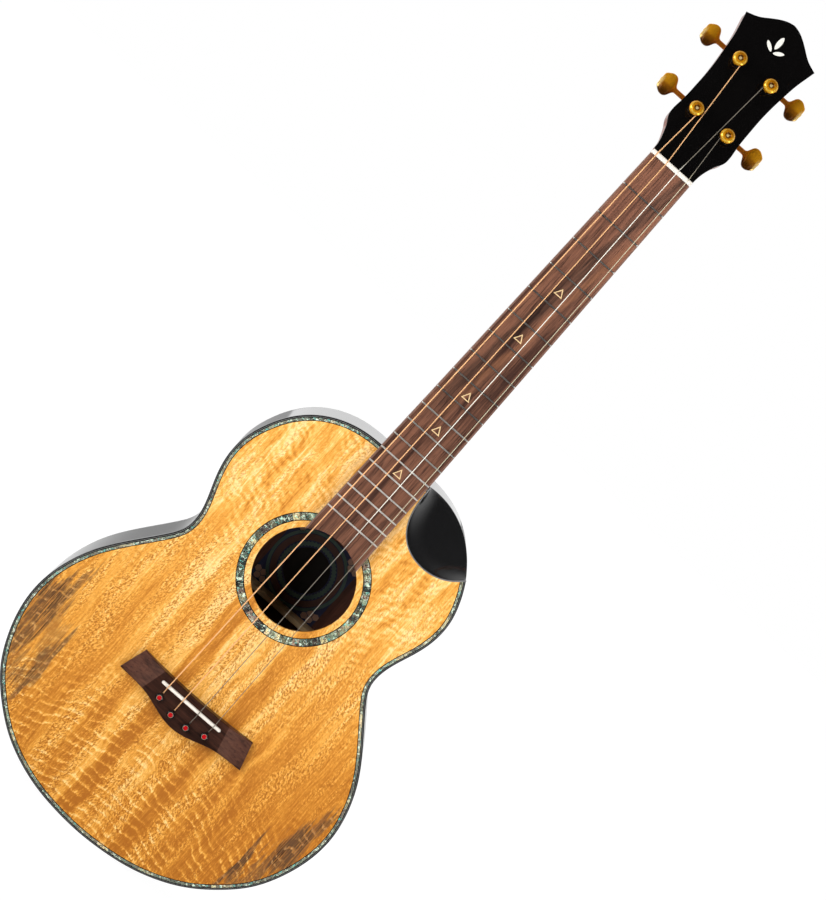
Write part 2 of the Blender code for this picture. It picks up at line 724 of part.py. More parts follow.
def pin_hole(x, z):
    """Round hole, with a narrow slot towards the saddle where the string goes down."""
    slot_half, slot_reach = 0.85, 4.75
    opening = math.asin(slot_half / PIN_HOLE_R)
    outline = []
    for k in range(15):
        angle = math.pi / 2 + opening + (2 * math.pi - 2 * opening) * k / 14.0
        outline.append((x + PIN_HOLE_R * math.cos(angle), z + PIN_HOLE_R * math.sin(angle)))
    outline += [(x + slot_half, z + slot_reach), (x - slot_half, z + slot_reach)]
    return bar_y(outline, -12, 9)


def build_bridge(soundboard):
    bridge = add("bridge", bridge_shape(), BRIDGEWOOD, smooth=30)
    straight = SADDLE_HALF + GAP - 1.7
    slot = [(end * (straight + dx), SADDLE_Z + end * dz) for end in (1, -1) for dx, dz in SLOT_END]
    cut(bridge, "cut_saddle_slot", bar_y(slot, -12, -3.6))

    lower_z, upper_z = NUT_Z - 538.5, NUT_Z - 505
    outline = [(-47, lower_z), (47, lower_z), (44, upper_z), (-44, upper_z)]
    shape = bar_y(outline, INSIDE_TOP, INSIDE_TOP + 2.6)
    bridge_plate = add("bridge_plate", shape, SPRUCE)

    for number, side, place in STRINGS:
        x, z = side * PIN_X[place], NUT_Z - PIN_D[place]
        hole = helper("cut_pin_hole_%d" % number, pin_hole(x, z))
        for target in (bridge, soundboard, bridge_plate):
            boolean(target, hole)
        add("bridge_pin_%d" % number, lathe_y(PIN_PROFILE, 12), PIN,
            location=(x, PIN_Y, z), smooth=40)


def build_saddle():
    """Rounded bar standing in its slot, its top edge crowned."""
    radius = (SADDLE_D1 - SADDLE_D0) / 2
    foot_y = -3.9
    rings = []
    for k in range(-9, 10):
        # stations crowd towards the rounded ends
        if abs(k) > 6:
            x = (SADDLE_HALF - 0.05) * math.sin(k / 9.0 * math.pi / 2)
        else:
            x = SADDLE_HALF * 0.87 * k / 6.0
        into_end = min(1.0, max(0.0, (abs(x) - (SADDLE_HALF - radius)) / radius))
        half = radius * math.sqrt(max(0.06, 1 - into_end ** 2))
        top = (-SADDLE_TOP + SADDLE_CROWN * (abs(x) / SADDLE_HALF) ** 2
               + 0.7 * (1 - half / radius))
        section = [(foot_y, -half), (foot_y, half), (top + 0.8, half), (top + 0.15, half * 0.6),
                   (top, 0), (top + 0.15, -half * 0.6), (top + 0.8, -half)]
        rings.append([(x, y, SADDLE_Z + dz) for y, dz in section])
    add("saddle", loft(rings), BONE, smooth=40)


# -------------------------------------------------------------------- strings
# Ball end inside the body: y, radius.
BALL_END = [(10.4, 0.5), (9.9, 1.15), (9.0, 1.4), (8.0, 1.15), (7.5, 0.6)]
POST_WAIST_R = 3.0            # tuner post where the string winds
WIND_TURNS, WIND_STEPS = 2.25, 21
WIND_START = -8.1             # depth of the first turn in the head's frame


def tube(path, radii, count=6):
    """A round wire along a path, its section kept square to the path."""
    path = [np.array(point, float) for point in path]
    rings = []
    up = np.array([1.0, 0.0, 0.0])
    for i, (point, radius) in enumerate(zip(path, radii)):
        along = path[min(i + 1, len(path) - 1)] - path[max(i - 1, 0)]
        along /= np.linalg.norm(along)
        up = up - along * up.dot(along)
        up /= np.linalg.norm(up)
        beside = np.cross(along, up)
        rings.append([point + radius * (c * up + s * beside) for c, s in circle(1, count)])
    return loft(rings)


def head_point(x, y, z):
    """A point of the head's frame in the instrument's frame."""
    c, s = math.cos(HEAD_TILT), math.sin(HEAD_TILT)
    return (x, y * c + z * s, HEAD_Z + z * c - y * s)


def build_string(number, side, place):
    """From the ball end, up through the bridge, over saddle and nut, round the post."""
    radius = STRING_R[number - 1]
    x_pin = side * PIN_X[place]
    x_saddle = side * STRING_X_SADDLE[place]
    x_nut = side * STRING_X_NUT[place]
    z_slot = NUT_Z - PIN_D[place] + 4.05
    crown_y = -(SADDLE_TOP - SADDLE_CROWN * (abs(x_saddle) / SADDLE_HALF) ** 2)
    path = [(x_pin, y, z_slot) for y, _ in BALL_END]
    path += [
        (x_pin, 6.9, z_slot), (x_pin, -8.3, z_slot), (x_pin, -9.1, z_slot + 0.25),
        (x_saddle, crown_y - 0.12 - radius, NUT_Z - SADDLE_D1 + 0.3),
        (x_saddle, crown_y - 0.16 - radius, NUT_Z - SADDLE_D0 - 0.8),
        (x_nut, -7.6 - radius, NUT_Z - 0.4), (x_nut, -7.62 - radius, NUT_Z + 1.4)]
    wind_r = POST_WAIST_R + 0.25 + radius
    start = math.pi if side > 0 else 0.0
    for k in range(WIND_STEPS + 1):
        turns = WIND_TURNS * k / WIND_STEPS
        angle = start - side * 2 * math.pi * turns
        path.append(head_point(side * POST_X + wind_r * math.cos(angle),
                               WIND_START + (2 * radius + 0.12) * turns,
                               POST_S[place] + wind_r * math.sin(angle)))
    radii = [ball_r for _, ball_r in BALL_END]
    radii += [radius] * (len(path) - len(radii))
    mat = WOUND if number > 2 else PLAIN
    add("string_%d" % number, tube(path, radii), mat, smooth=60)


# ------------------------------------------------------------ tuning machines
GEAR_TEETH = 14
GEAR_CD = 8.0                 # worm axis to wheel axis
GEAR_PITCH_R = 5.4
GEAR_TIP_R, GEAR_ROOT_R = 6.0, 4.45
WHEEL_HALF_T = 1.9
GEAR_Y = 16.8                 # depth of the gear plane behind the head's face
WORM_PITCH = 2 * math.pi * GEAR_PITCH_R / GEAR_TEETH
WORM_HALF = 3.9
WORM_ROOT, WORM_CREST = 1.75, 2.95
# One tooth: angle in tooth pitches, radius.
TOOTH = [(-0.26, GEAR_ROOT_R), (-0.12, GEAR_TIP_R), (0.12, GEAR_TIP_R), (0.26, GEAR_ROOT_R)]
# Post from its cap to its gear end: radius, y.
POST_PROFILE = [
    (1.2, -11.4), (2.2, -11.7), (3.6, -12.2), (5.0, -11.9), (5.5, -11.1), (5.3, -10.3),
    (4.2, -9.6), (POST_WAIST_R, -9.2), (POST_WAIST_R, -3.4), (3.3, 0.0),
    (3.3, HEAD_T + 1.0), (2.6, HEAD_T + 1.4), (2.6, GEAR_Y + 2.1)]
# Button from the shaft outwards: x, half size in z, half size in y.
BUTTON = [
    (19.3, 2.6, 2.4), (20.4, 5.0, 3.0), (21.9, 7.5, 3.4), (24.0, 8.9, 3.6), (27.2, 8.9, 3.6),
    (29.8, 7.4, 3.2), (31.5, 4.8, 2.1), (32.2, 2.0, 1.0)]
# Housing outline seen along Y: x, z from the post.
HOUSING = [
    (-5.7, -8.2), (5.7, -8.2), (7.7, -6.2), (7.7, 11.2), (5.7, 13.2), (-5.7, 13.2),
    (-7.7, 11.2), (-7.7, -6.2)]


def wheel():
    """Worm wheel about Y, its teeth slanted to the worm's lead."""
    lead = WORM_PITCH / (2 * math.pi * (GEAR_CD - GEAR_PITCH_R))
    pitch = 2 * math.pi / GEAR_TEETH
    rings = []
    for y in (-WHEEL_HALF_T, WHEEL_HALF_T):
        ring = []
        for k in range(GEAR_TEETH):
            centre = math.pi / 2 + pitch * k + lead * y / GEAR_PITCH_R
            for turn, radius in TOOTH:
                angle = centre + turn * pitch
                ring.append((radius * math.cos(angle), GEAR_Y + y, radius * math.sin(angle)))
        rings.append(ring)
    return loft(rings)


def knob(side):
    """Worm, shaft and button about X, the button pointing away from the centre line."""
    angles = [2 * math.pi * k / 12 for k in range(12)]

    def oval(x, half_z, half_y, power=1.0):
        return [(side * x, half_y * signed_power(math.sin(a), power),
                 -half_z * signed_power(math.cos(a), power)) for a in angles]

    def worm_ring(x):
        fade = min(1.0, min(x + WORM_HALF, WORM_HALF - x) / 0.8)
        ring = []
        for a in angles:
            # angle 0 faces the wheel; a crest lies where the phase is 0 or 1
            phase = (side * x / WORM_PITCH + a / (2 * math.pi) + 0.5) % 1.0
            from_crest = min(phase, 1 - phase)
            rise = max(0.0, min(1.0, (0.28 - from_crest) / 0.14))
            radius = WORM_ROOT + (WORM_CREST - WORM_ROOT) * rise * fade
            ring.append((side * x, radius * math.sin(a), -radius * math.cos(a)))
        return ring

    rows = 15
    rings = [oval(-5.4, 1.5, 1.5), oval(-WORM_HALF - 0.3, 1.7, 1.7)]
    rings += [worm_ring(-WORM_HALF + 2 * WORM_HALF * k / rows) for k in range(rows + 1)]
    rings += [oval(WORM_HALF + 0.5, 1.85, 1.85), oval(18.4, 1.95, 1.95)]
    rings += [oval(x, half_z, half_y, power=0.75) for x, half_z, half_y in BUTTON]
    return loft(rings)


def build_housing(number, side, place):
    """Cast box open towards the head, hollow for the wheel and the worm."""
    y0, y1 = HEAD_T + HEAD_FACE + GAP, GEAR_Y + 5.4
    middle_z = 2.5
    rings = [[(x, y, z) for x, z in HOUSING] for y in (y0, y1 - 1.2)]
    rings.append([(x * 0.88, y1, middle_z + (z - middle_z) * 0.9) for x, z in HOUSING])
    housing = add("tuner_%d_housing" % number, loft(rings), GOLD, smooth=30, **place)
    wheel_room = bar_y(circle(6.6, 20), y0 - 2, GEAR_Y + 2.4)
    cut(housing, "cut_wheel_room_%d" % number, wheel_room, **place)
    worm_room = block((-6.0, 6.0), (y0 - 2, GEAR_Y + 3.6), (2.0, GEAR_CD + 3.7))
    cut(housing, "cut_worm_room_%d" % number, worm_room, **place)
    x0, x1 = sorted((side * 4.0, side * 9.0))
    shaft_hole = bar_x(circle(2.2, 16, (GEAR_Y, GEAR_CD)), x0, x1)
    cut(housing, "cut_shaft_hole_%d" % number, shaft_hole, **place)


def build_tuner(number, side, s, head):
    """Housing, post with its wheel, and knob, at distance s along the head."""
    place = {"location": (side * POST_X, 0, s), "parent": head}
    build_housing(number, side, place)
    post = add("tuner_%d_post" % number, lathe_y(POST_PROFILE, 16), GOLD, smooth=40, **place)
    join(post, "join_wheel_%d" % number, wheel(), **place)
    add("tuner_%d_knob" % number, knob(side), GOLD,
        location=(side * POST_X, GEAR_Y, s + GEAR_CD), parent=head, smooth=40)


# ------------------------------------------------------------------- assembly
def build_guitar():
    scoop_cutter = helper("cut_scoop_top", scoop_prism())
    soundboard = build_soundboard(scoop_cutter)
    build_back()
    build_bindings(scoop_cutter)
    build_side("treble_side", 1)
    build_side("bass_side", -1)
    build_scoop_bevel()
    build_neck_block()
    build_tail_block()
    build_braces()

    head = build_head_frame()
    build_neck(head)
    build_head_plate(head)
    build_truss_rod()
    build_fingerboard()
    build_nut()
    build_bridge(soundboard)
    build_saddle()
    for number, side, place in STRINGS:
        build_string(number, side, place)
        build_tuner(number, side, POST_S[place], head)


build_guitar()

# Bring the origin to the middle of the overall depth; children follow the head frame.
for obj in bpy.data.objects:
    if obj.parent is None:
        obj.location.y -= Y_CENTRE * MM
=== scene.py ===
"""A four-string, guitar-shaped instrument that stands upright on its tail.

Shapes are laid out in millimetres: y = 0 is the soundboard's face and +y runs back into the body,
z runs up the neck from the tail, +x is the treble side. build() turns them into metres.
"""
import bpy
import bmesh
import random
import numpy as np
from math import asin, copysign, cos, hypot, pi, radians, sin, sqrt
from mathutils import Matrix, Vector


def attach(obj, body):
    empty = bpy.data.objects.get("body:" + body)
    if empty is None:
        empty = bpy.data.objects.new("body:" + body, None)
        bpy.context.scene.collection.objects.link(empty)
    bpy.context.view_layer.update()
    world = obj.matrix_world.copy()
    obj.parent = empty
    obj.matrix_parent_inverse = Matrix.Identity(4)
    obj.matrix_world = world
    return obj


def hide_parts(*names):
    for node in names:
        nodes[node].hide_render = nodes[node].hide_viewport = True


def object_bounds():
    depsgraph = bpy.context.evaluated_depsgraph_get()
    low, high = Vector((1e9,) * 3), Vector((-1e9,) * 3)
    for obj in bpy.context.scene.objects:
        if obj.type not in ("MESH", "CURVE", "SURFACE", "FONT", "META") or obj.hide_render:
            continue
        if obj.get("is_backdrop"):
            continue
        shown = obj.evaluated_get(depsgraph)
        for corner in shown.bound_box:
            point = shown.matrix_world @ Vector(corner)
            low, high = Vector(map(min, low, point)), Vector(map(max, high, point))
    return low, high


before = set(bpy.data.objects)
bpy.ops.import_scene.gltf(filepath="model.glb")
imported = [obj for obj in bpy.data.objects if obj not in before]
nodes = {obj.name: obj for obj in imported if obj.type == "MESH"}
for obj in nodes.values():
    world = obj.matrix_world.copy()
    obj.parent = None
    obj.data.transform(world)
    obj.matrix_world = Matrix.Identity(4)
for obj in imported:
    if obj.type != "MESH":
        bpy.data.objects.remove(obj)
loaded_low, loaded_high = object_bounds()

# ------------------------------------------------------------------ driving dimensions
ORIGIN_Y = 33.8             # depth of the frame's origin behind the soundboard's face
BODY_LENGTH, BODY_DEPTH = 359.0, 80.0
SCALE_LENGTH = 510.0
NUT_Z = BODY_LENGTH + SCALE_LENGTH * (1 - 2 ** (-14 / 12.0))    # fret 14 is at the body's end
HEAD_Z = NUT_Z + 3.9
TILT = radians(13.0)        # the head leans back by this
HOLE_Z, HOLE_R = NUT_Z - 393.3, 38.2
BINDING_DEPTH, BINDING_ROUND = 4.5, 0.9
TOP_THICK, BACK_THICK = 2.8, 2.8
INSIDE_Y = BODY_DEPTH - BACK_THICK
BOARD_Y = -5.8              # the fingerboard's face
SADDLE_Z = NUT_Z - 515.1
POST_X, POST_LOW, POST_HIGH = 14.75, 39.8, 88.8     # tuner posts: across and along the head
POST_STEP, POST_MIDDLE = POST_HIGH - POST_LOW, (POST_LOW + POST_HIGH) / 2
KNOB_SHIFT = 8.0            # a knob's shaft lies this far up the head from its post
SHAFT_DEPTH = 16.8          # and this far behind the head's face

# an outer and an inner string: pin x, pin z, x on the saddle, x on the nut, post along the head
OUTER = (21.5, NUT_Z - 525.3, 21.75, 14.55, POST_LOW)
INNER = (7.2, NUT_Z - 529.5, 7.3, 5.0, POST_HIGH)
# number, side, radius, then the places above
STRINGS = ((1, 1, 0.25, *OUTER), (2, 1, 0.28, *INNER), (3, -1, 0.38, *INNER), (4, -1, 0.42, *OUTER))
PINS = [(number, side * pin_x, pin_z) for number, side, _, pin_x, pin_z, *_ in STRINGS]
POSTS = [(row[0], row[1] * POST_X, row[-1]) for row in STRINGS]
RNG = random.Random(11)


def fret_z(number):
    return NUT_Z - SCALE_LENGTH * (1 - 2 ** (-number / 12.0))


# ======================================================================== mesh helpers
# A shape is a pair (vertices, faces), in millimetres.
def set_smooth(mesh, angle):
    if angle:
        mesh.shade_smooth()
        mesh.set_sharp_from_angle(angle=radians(angle))


def mesh_object(name, shape, look=None, smooth=0, seeds=None):
    mesh = bpy.data.meshes.new(name)
    verts = [(x * 0.001, (y - ORIGIN_Y) * 0.001, z * 0.001) for x, y, z in shape[0]]
    mesh.from_pydata(verts, [], shape[1])
    if seeds is not None:
        mesh.attributes.new("seed", "FLOAT", "FACE").data.foreach_set("value", seeds)
    if look:
        mesh.materials.append(look)
    bm = bmesh.new()
    bm.from_mesh(mesh)
    bmesh.ops.recalc_face_normals(bm, faces=bm.faces)
    bm.to_mesh(mesh)
    bm.free()
    set_smooth(mesh, smooth)
    ob = bpy.data.objects.new(name, mesh)
    bpy.context.scene.collection.objects.link(ob)
    return ob


def add_bevel(ob, width, segments, angle):
    bevel = ob.modifiers.new("edges", "BEVEL")
    bevel.width = width * 0.001
    bevel.segments = segments
    bevel.limit_method = "ANGLE"
    bevel.angle_limit = radians(angle)
    return bevel


def carve(ob, tools, smooth):
    """Cuts each tool's shape out of the object and makes the result real."""
    cutters = []
    for shape in tools:
        cutter = mesh_object("carver", shape)
        cutters.append(cutter)
        cut = ob.modifiers.new("carve", "BOOLEAN")
        cut.operation = "DIFFERENCE"
        cut.solver = "EXACT"
        cut.object = cutter
    bpy.context.view_layer.update()
    depsgraph = bpy.context.evaluated_depsgraph_get()
    mesh = bpy.data.meshes.new_from_object(ob.evaluated_get(depsgraph))
    ob.modifiers.clear()
    ob.data = mesh
    set_smooth(mesh, smooth)
    for cutter in cutters:
        bpy.data.objects.remove(cutter, do_unlink=True)


def build(name, shape, look, slot, body="body", replaces=None, smooth=35, seeds=None,
          cuts=(), cut_smooth=None):
    """A finished piece. cut_smooth is the sharp-edge angle after carving, if it differs."""
    ob = mesh_object(name, shape, look, smooth, seeds)
    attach(ob, body)
    if replaces:
        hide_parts(replaces)
    if cuts:
        carve(ob, cuts, cut_smooth or smooth)
    return ob


def loft(rings, closed=False):
    """Skins rings of equal length; open lofts are capped, closed ones meet themselves."""
    size, count = len(rings[0]), len(rings)
    verts = [tuple(p) for ring in rings for p in ring]
    faces = []
    for i in range(count if closed else count - 1):
        a, b = i * size, ((i + 1) % count) * size
        for j in range(size):
            k = (j + 1) % size
            faces.append((a + j, a + k, b + k, b + j))
    if not closed:
        faces.append(tuple(range(size - 1, -1, -1)))
        faces.append(tuple(range((count - 1) * size, count * size)))
    return verts, faces


def join(shapes):
    verts, faces = [], []
    for shape_verts, shape_faces in shapes:
        base = len(verts)
        verts += shape_verts
        faces += [tuple(i + base for i in face) for face in shape_faces]
    return verts, faces


def plate(outline, y0, y1):
    """An (x, z) outline given thickness."""
    return loft([[(x, y, z) for x, z in outline] for y in (y0, y1)])


def circle(radius, count):
    turns = [2 * pi * i / count for i in range(count)]
    return [(radius * cos(a), radius * sin(a)) for a in turns]


def lathe(profile, count, x=0.0, z=0.0):
    """Turns (radius, y) pairs about an axis along y."""
    return loft([[(x + a, y, z + b) for a, b in circle(max(radius, 1e-3), count)]
                 for radius, y in profile])


def annulus(r0, r1, y0, y1, count, x=0.0, z=0.0, start=0.0, end=2 * pi, ease=0.0):
    """A flat ring, or an arc of one; ease chamfers the two edges at y0."""
    whole = abs(end - start - 2 * pi) < 1e-6
    if ease:
        profile = [(r0, y1), (r0, y0 + ease), (r0 + ease, y0),
                   (r1 - ease, y0), (r1, y0 + ease), (r1, y1)]
    else:
        profile = [(r0, y1), (r0, y0), (r1, y0), (r1, y1)]
    rings = []
    for i in range(count if whole else count + 1):
        a = start + (end - start) * i / count
        rings.append([(x + r * cos(a), y, z + r * sin(a)) for r, y in profile])
    return loft(rings, closed=whole)


def head_point(x, into, along):
    """A point on the head: x across, into it from its face, along it from the nut."""
    c, s = cos(TILT), sin(TILT)
    return (x, into * c + along * s, HEAD_Z + along * c - into * s)


def on_head(shape, x=0.0, into=0.0, along=0.0):
    return [head_point(p[0] + x, p[1] + into, p[2] + along) for p in shape[0]], shape[1]


def spline(points, closed=False):
    """A cubic through the points, natural or closed: the curve over chord length, and its knots."""
    pts = np.array(points, float)
    if closed:
        pts = np.vstack([pts, pts[:1]])
    gap = np.sqrt(((pts[1:] - pts[:-1]) ** 2).sum(1))
    slope = (pts[1:] - pts[:-1]) / gap[:, None]
    knots = np.concatenate([[0], np.cumsum(gap)])
    last = len(pts) - 1
    system = np.zeros((last + 1, last + 1))
    wanted = np.zeros((last + 1, pts.shape[1]))
    for i in range(1, last):
        system[i, i - 1:i + 2] = gap[i - 1], 2 * (gap[i - 1] + gap[i]), gap[i]
        wanted[i] = 6 * (slope[i] - slope[i - 1])
    if closed:
        system[0, 0], system[0, last] = 1, -1
        system[last, 0], system[last, 1] = 2 * gap[0], gap[0]
        system[last, last - 1], system[last, last] = gap[-1], 2 * gap[-1]
        wanted[last] = 6 * (slope[0] - slope[-1])
    else:
        system[0, 0] = system[last, last] = 1
    bend = np.linalg.solve(system, wanted)

    def curve(lengths):
        u = np.asarray(lengths, float)
        i = np.clip(np.searchsorted(knots, u, side="right") - 1, 0, last - 1)
        after = (knots[i + 1] - u)[:, None]
        before = (u - knots[i])[:, None]
        h = gap[i][:, None]
        return ((bend[i] * after ** 3 + bend[i + 1] * before ** 3) / (6 * h)
                + (pts[i] / h - bend[i] * h / 6) * after
                + (pts[i + 1] / h - bend[i + 1] * h / 6) * before)
    return curve, knots


def unit_tangents(points):
    steps = np.gradient(points, axis=0)
    return steps / np.sqrt((steps ** 2).sum(1))[:, None]


# ==================================================================== material helpers
class Value:
    """A node's output that can be added, subtracted and multiplied."""

    def __init__(self, shader, socket):
        self.shader, self.socket = shader, socket

    def __add__(self, other):
        return self.shader.math("ADD", self, other)

    def __sub__(self, other):
        return self.shader.math("SUBTRACT", self, other)

    def __rsub__(self, other):
        return self.shader.math("SUBTRACT", other, self)

    def __mul__(self, other):
        return self.shader.math("MULTIPLY", self, other)

    def __abs__(self):
        return self.shader.math("ABSOLUTE", self)

    def scaled(self, factor, offset, clamp=False):
        return self.shader.math("MULTIPLY_ADD", self, factor, offset, clamp=clamp)

    def rise(self, zero_at, one_at):
        """A smooth step from 0 to 1 between the two values, which may run downwards."""
        return self.shader.value("MapRange", {0: self, 1: zero_at, 2: one_at},
                                 interpolation_type="SMOOTHSTEP")


class Shader:
    """Writes the node tree of a material or a world."""

    def __init__(self, block, output="OutputMaterial", coordinates="Object"):
        self.block = block
        block.use_nodes = True
        self.tree = block.node_tree
        self.tree.nodes.clear()
        self.output = self.node(output, {})
        self.place = self.value("TexCoord", {}, coordinates)
        self.millimetres = None

    def put(self, socket, value):
        if isinstance(value, Value):
            self.tree.links.new(value.socket, socket)
        elif isinstance(value, tuple) and len(value) == 3 and len(socket.default_value) == 4:
            socket.default_value = (*value, 1.0)
        else:
            socket.default_value = value

    def node(self, kind, inputs, **settings):
        node = self.tree.nodes.new("ShaderNode" + kind)
        for key, setting in settings.items():
            setattr(node, key, setting)
        for key, value in inputs.items():
            self.put(node.inputs[key], value)
        return node

    def value(self, kind, inputs, result=0, **settings):
        return Value(self, self.node(kind, inputs, **settings).outputs[result])

    def math(self, operation, *inputs, clamp=False):
        return self.value("Math", dict(enumerate(inputs)), operation=operation, use_clamp=clamp)

    def xyz(self):
        """Object coordinates in millimetres."""
        if self.millimetres is None:
            scaled = self.value("VectorMath", {0: self.place, "Scale": 1000.0}, operation="SCALE")
            parts = self.node("SeparateXYZ", {0: scaled}).outputs
            self.millimetres = tuple(Value(self, part) for part in parts)
        return self.millimetres

    def vector(self, x, y, z):
        return self.value("CombineXYZ", {0: x, 1: y, 2: z})

    def noise(self, place, scale=1.0, detail=3.0, rough=0.5, twist=0.0, result="Fac"):
        return self.value("TexNoise", {"Vector": place, "Scale": scale, "Detail": detail,
                                       "Roughness": rough, "Distortion": twist}, result)

    def noise_at(self, x, y, z, **settings):
        """Noise stretched by the factors that its coordinates carry."""
        return self.noise(self.vector(x, y, z), **settings)

    def ramp(self, value, stops, interpolation="LINEAR"):
        """A colour ramp over (position, grey or rgb) stops."""
        node = self.node("ValToRGB", {"Fac": value})
        ramp = node.color_ramp
        ramp.interpolation = interpolation
        while len(ramp.elements) < len(stops):
            ramp.elements.new(1.0)
        for element, (position, colour) in zip(ramp.elements, stops):
            element.position = position
            rgb = colour if isinstance(colour, tuple) else (colour,) * 3
            element.color = (*rgb, 1)
        return Value(self, node.outputs["Color"])

    def mix(self, share, a, b, blend="MIX"):
        return self.value("Mix", {0: share, 6: a, 7: b}, 2, data_type="RGBA", blend_type=blend)

    def tint(self, colour, by):
        return self.mix(1.0, colour, by, "MULTIPLY")

    def wave(self, phase):
        """A sine between 0 and 1."""
        return self.math("SINE", phase).scaled(0.5, 0.5)

    def bump(self, height, strength, distance):
        return self.value("Bump", {"Strength": strength, "Distance": distance, "Height": height})

    def finish(self, surface):
        self.put(self.output.inputs[0], surface)
        return self.block

    def pbr(self, base, rough, metal=0.0, coat=0.0, coat_rough=0.03, normal=None, spec=0.5):
        inputs = {"Base Color": base, "Roughness": rough, "Metallic": metal, "Coat Weight": coat,
                  "Coat Roughness": coat_rough, "Specular IOR Level": spec, "IOR": 1.5}
        if normal is not None:
            inputs["Normal"] = normal
        return self.finish(self.value("BsdfPrincipled", inputs))


def material(name):
    return Shader(bpy.data.materials.new(name))


def gloss(name, rgb, rough=0.08, spec=0.5, coat=0.0, speck=0.15):
    """Lacquer, plastic or ink with faint lighter specks."""
    mat = material(name)
    pale = tuple(min(1.0, c * 1.5 + 0.001) for c in rgb)
    colour = mat.mix(mat.noise(mat.place, scale=900.0, detail=2.0) * speck, rgb, pale)
    uneven = mat.noise(mat.place, scale=40.0).scaled(0.04, rough - 0.02)
    return mat.pbr(colour, uneven, coat=coat, spec=spec)


def metal(name, rgb, dark, rough, scale=60.0, part=1.0):
    """Metal with darker clouds; part is how metallic it is."""
    mat = material(name)
    clouds = mat.noise(mat.place, scale=scale, detail=4.0, rough=0.6)
    colour = mat.mix(clouds.rise(0.35, 0.7), rgb, dark)
    uneven = mat.noise(mat.place, scale=60.0, detail=2.0).scaled(0.04, rough - 0.02)
    return mat.pbr(colour, uneven, metal=part)


def along_head(mat):
    """Distance along the head, as POST_LOW and POST_HIGH measure it."""
    _, y, z = mat.xyz()
    return (y + ORIGIN_Y) * sin(TILT) + z * cos(TILT) - HEAD_Z * cos(TILT)


# painted reflections: dark and bright rings from a post's axis out to 6 mm
CROWN_PAINTED_REFLECTIONS = (
    (0.0, (1.0, 0.88, 0.55)), (0.15, (1.0, 0.76, 0.32)), (0.21, (0.09, 0.026, 0.001)),
    (0.33, (0.16, 0.050, 0.002)), (0.44, (0.74, 0.29, 0.004)), (0.60, (0.82, 0.33, 0.005)),
    (0.74, (1.0, 0.70, 0.10)), (0.84, (1.0, 0.46, 0.020)), (0.95, (0.16, 0.05, 0.002)))


def turned_gold():
    """Gold of the posts with painted reflections: painted dark in the crown's hollow, painted bright
    on its rim and its dimple.
    """
    mat = material("post_gold")
    across = abs(mat.xyz()[0]) - POST_X
    along = along_head(mat)
    away = mat.math("MINIMUM", abs(along - POST_LOW), abs(along - POST_HIGH))
    radius = mat.math("SQRT", across * across + away * away)
    colour = mat.ramp(radius * (1 / 6.0), CROWN_PAINTED_REFLECTIONS)
    # painted shade: each crown is darker on the side towards the head's tip
    is_high = mat.math("GREATER_THAN", along, POST_MIDDLE)
    from_axis = along - is_high.scaled(POST_STEP, POST_LOW)
    colour = mat.mix(from_axis.rise(-0.5, 3.5) * 0.75, colour, mat.tint(colour, (0.40, 0.27, 0.15)))
    clouds = mat.noise(mat.place, scale=40.0, detail=2.0)
    colour = mat.mix(clouds * 0.12, colour, (0.55, 0.22, 0.02))
    return mat.pbr(colour, rough=0.20, metal=0.60, coat=0.30, coat_rough=0.05, spec=0.1)


def knob_gold():
    """Gold of the knobs with painted light: a lit amber half, a painted shaded darker half and a
    painted highlight on the outer rim.
    """
    mat = material("knob_gold")
    outward = abs(mat.xyz()[0]) - POST_X
    along = along_head(mat)
    is_high = mat.math("GREATER_THAN", along, POST_MIDDLE + KNOB_SHIFT)
    from_axis = along - is_high.scaled(POST_STEP, POST_LOW + KNOB_SHIFT)
    # painted light: the amber half is the lit side and brightens outwards; the dark half is painted
    # shade that deepens away from the axis
    amber = mat.mix(outward.rise(18.5, 31.0), (0.44, 0.175, 0.003), (0.68, 0.30, 0.010))
    dark = mat.mix(from_axis.rise(-1.0, -7.0), (0.34, 0.120, 0.006), (0.07, 0.022, 0.002))
    colour = mat.mix(from_axis.rise(-2.2, 0.6), dark, amber)
    # painted highlight along the outer rim
    rim = outward.rise(29.3, 31.3) * from_axis.rise(4.5, -1.0)
    colour = mat.mix(rim * 0.85, colour, (1.0, 0.70, 0.26))
    colour = mat.mix(outward.rise(20.2, 18.2), colour, (0.42, 0.125, 0.009))
    clouds = mat.noise(mat.place, scale=30.0, detail=2.0)
    colour = mat.mix(clouds * 0.10, colour, (0.40, 0.15, 0.01))
    return mat.pbr(colour, rough=0.20, metal=0.58, coat=0.28, coat_rough=0.05, spec=0.1)


def wood(name, light, dark, pore, rough, coat=0.0, fine=1.6, along="z", streak=0.5,
         pore_from=0.62, pore_stretch=0.16, spec=0.4, shade=None):
    """Straight-grained wood: broad streaks, fine grain and open pores along one axis.

    fine is the fine grain's frequency, streak the softness of the two tones' meeting,
    pore_from the noise level where pores start, shade a last change of colour.
    """
    mat = material(name)
    x, y, z = mat.xyz()
    if along == "x":
        x, z = z, x
    broad = mat.noise_at(x * 0.12, y * 0.12, z * 0.006, detail=4.0, rough=0.55, twist=0.3)
    middle = mat.noise_at(x * 0.55, y * 0.55, z * 0.018, detail=4.0, rough=0.6, twist=0.2)
    finer = mat.noise_at(x * fine, y * fine, z * 0.06, rough=0.6)
    tone = broad * 0.45 + (middle * 0.35 + finer * 0.2)
    colour = mat.mix(tone.rise(0.5 - 0.28 * streak, 0.5 + 0.28 * streak), dark, light)
    pores = mat.noise_at(x * 1.5, y * 1.5, z * pore_stretch, detail=2.0)
    pores = pores.rise(pore_from, pore_from + 0.08)
    colour = mat.mix(pores * 0.75, colour, pore)
    if shade:
        colour = shade(mat, colour)
    normal = mat.bump(finer * 0.4 - pores, strength=0.25, distance=0.00015)
    uneven = tone.scaled(0.15, rough - 0.07)
    return mat.pbr(colour, uneven, coat=coat, normal=normal, spec=spec)


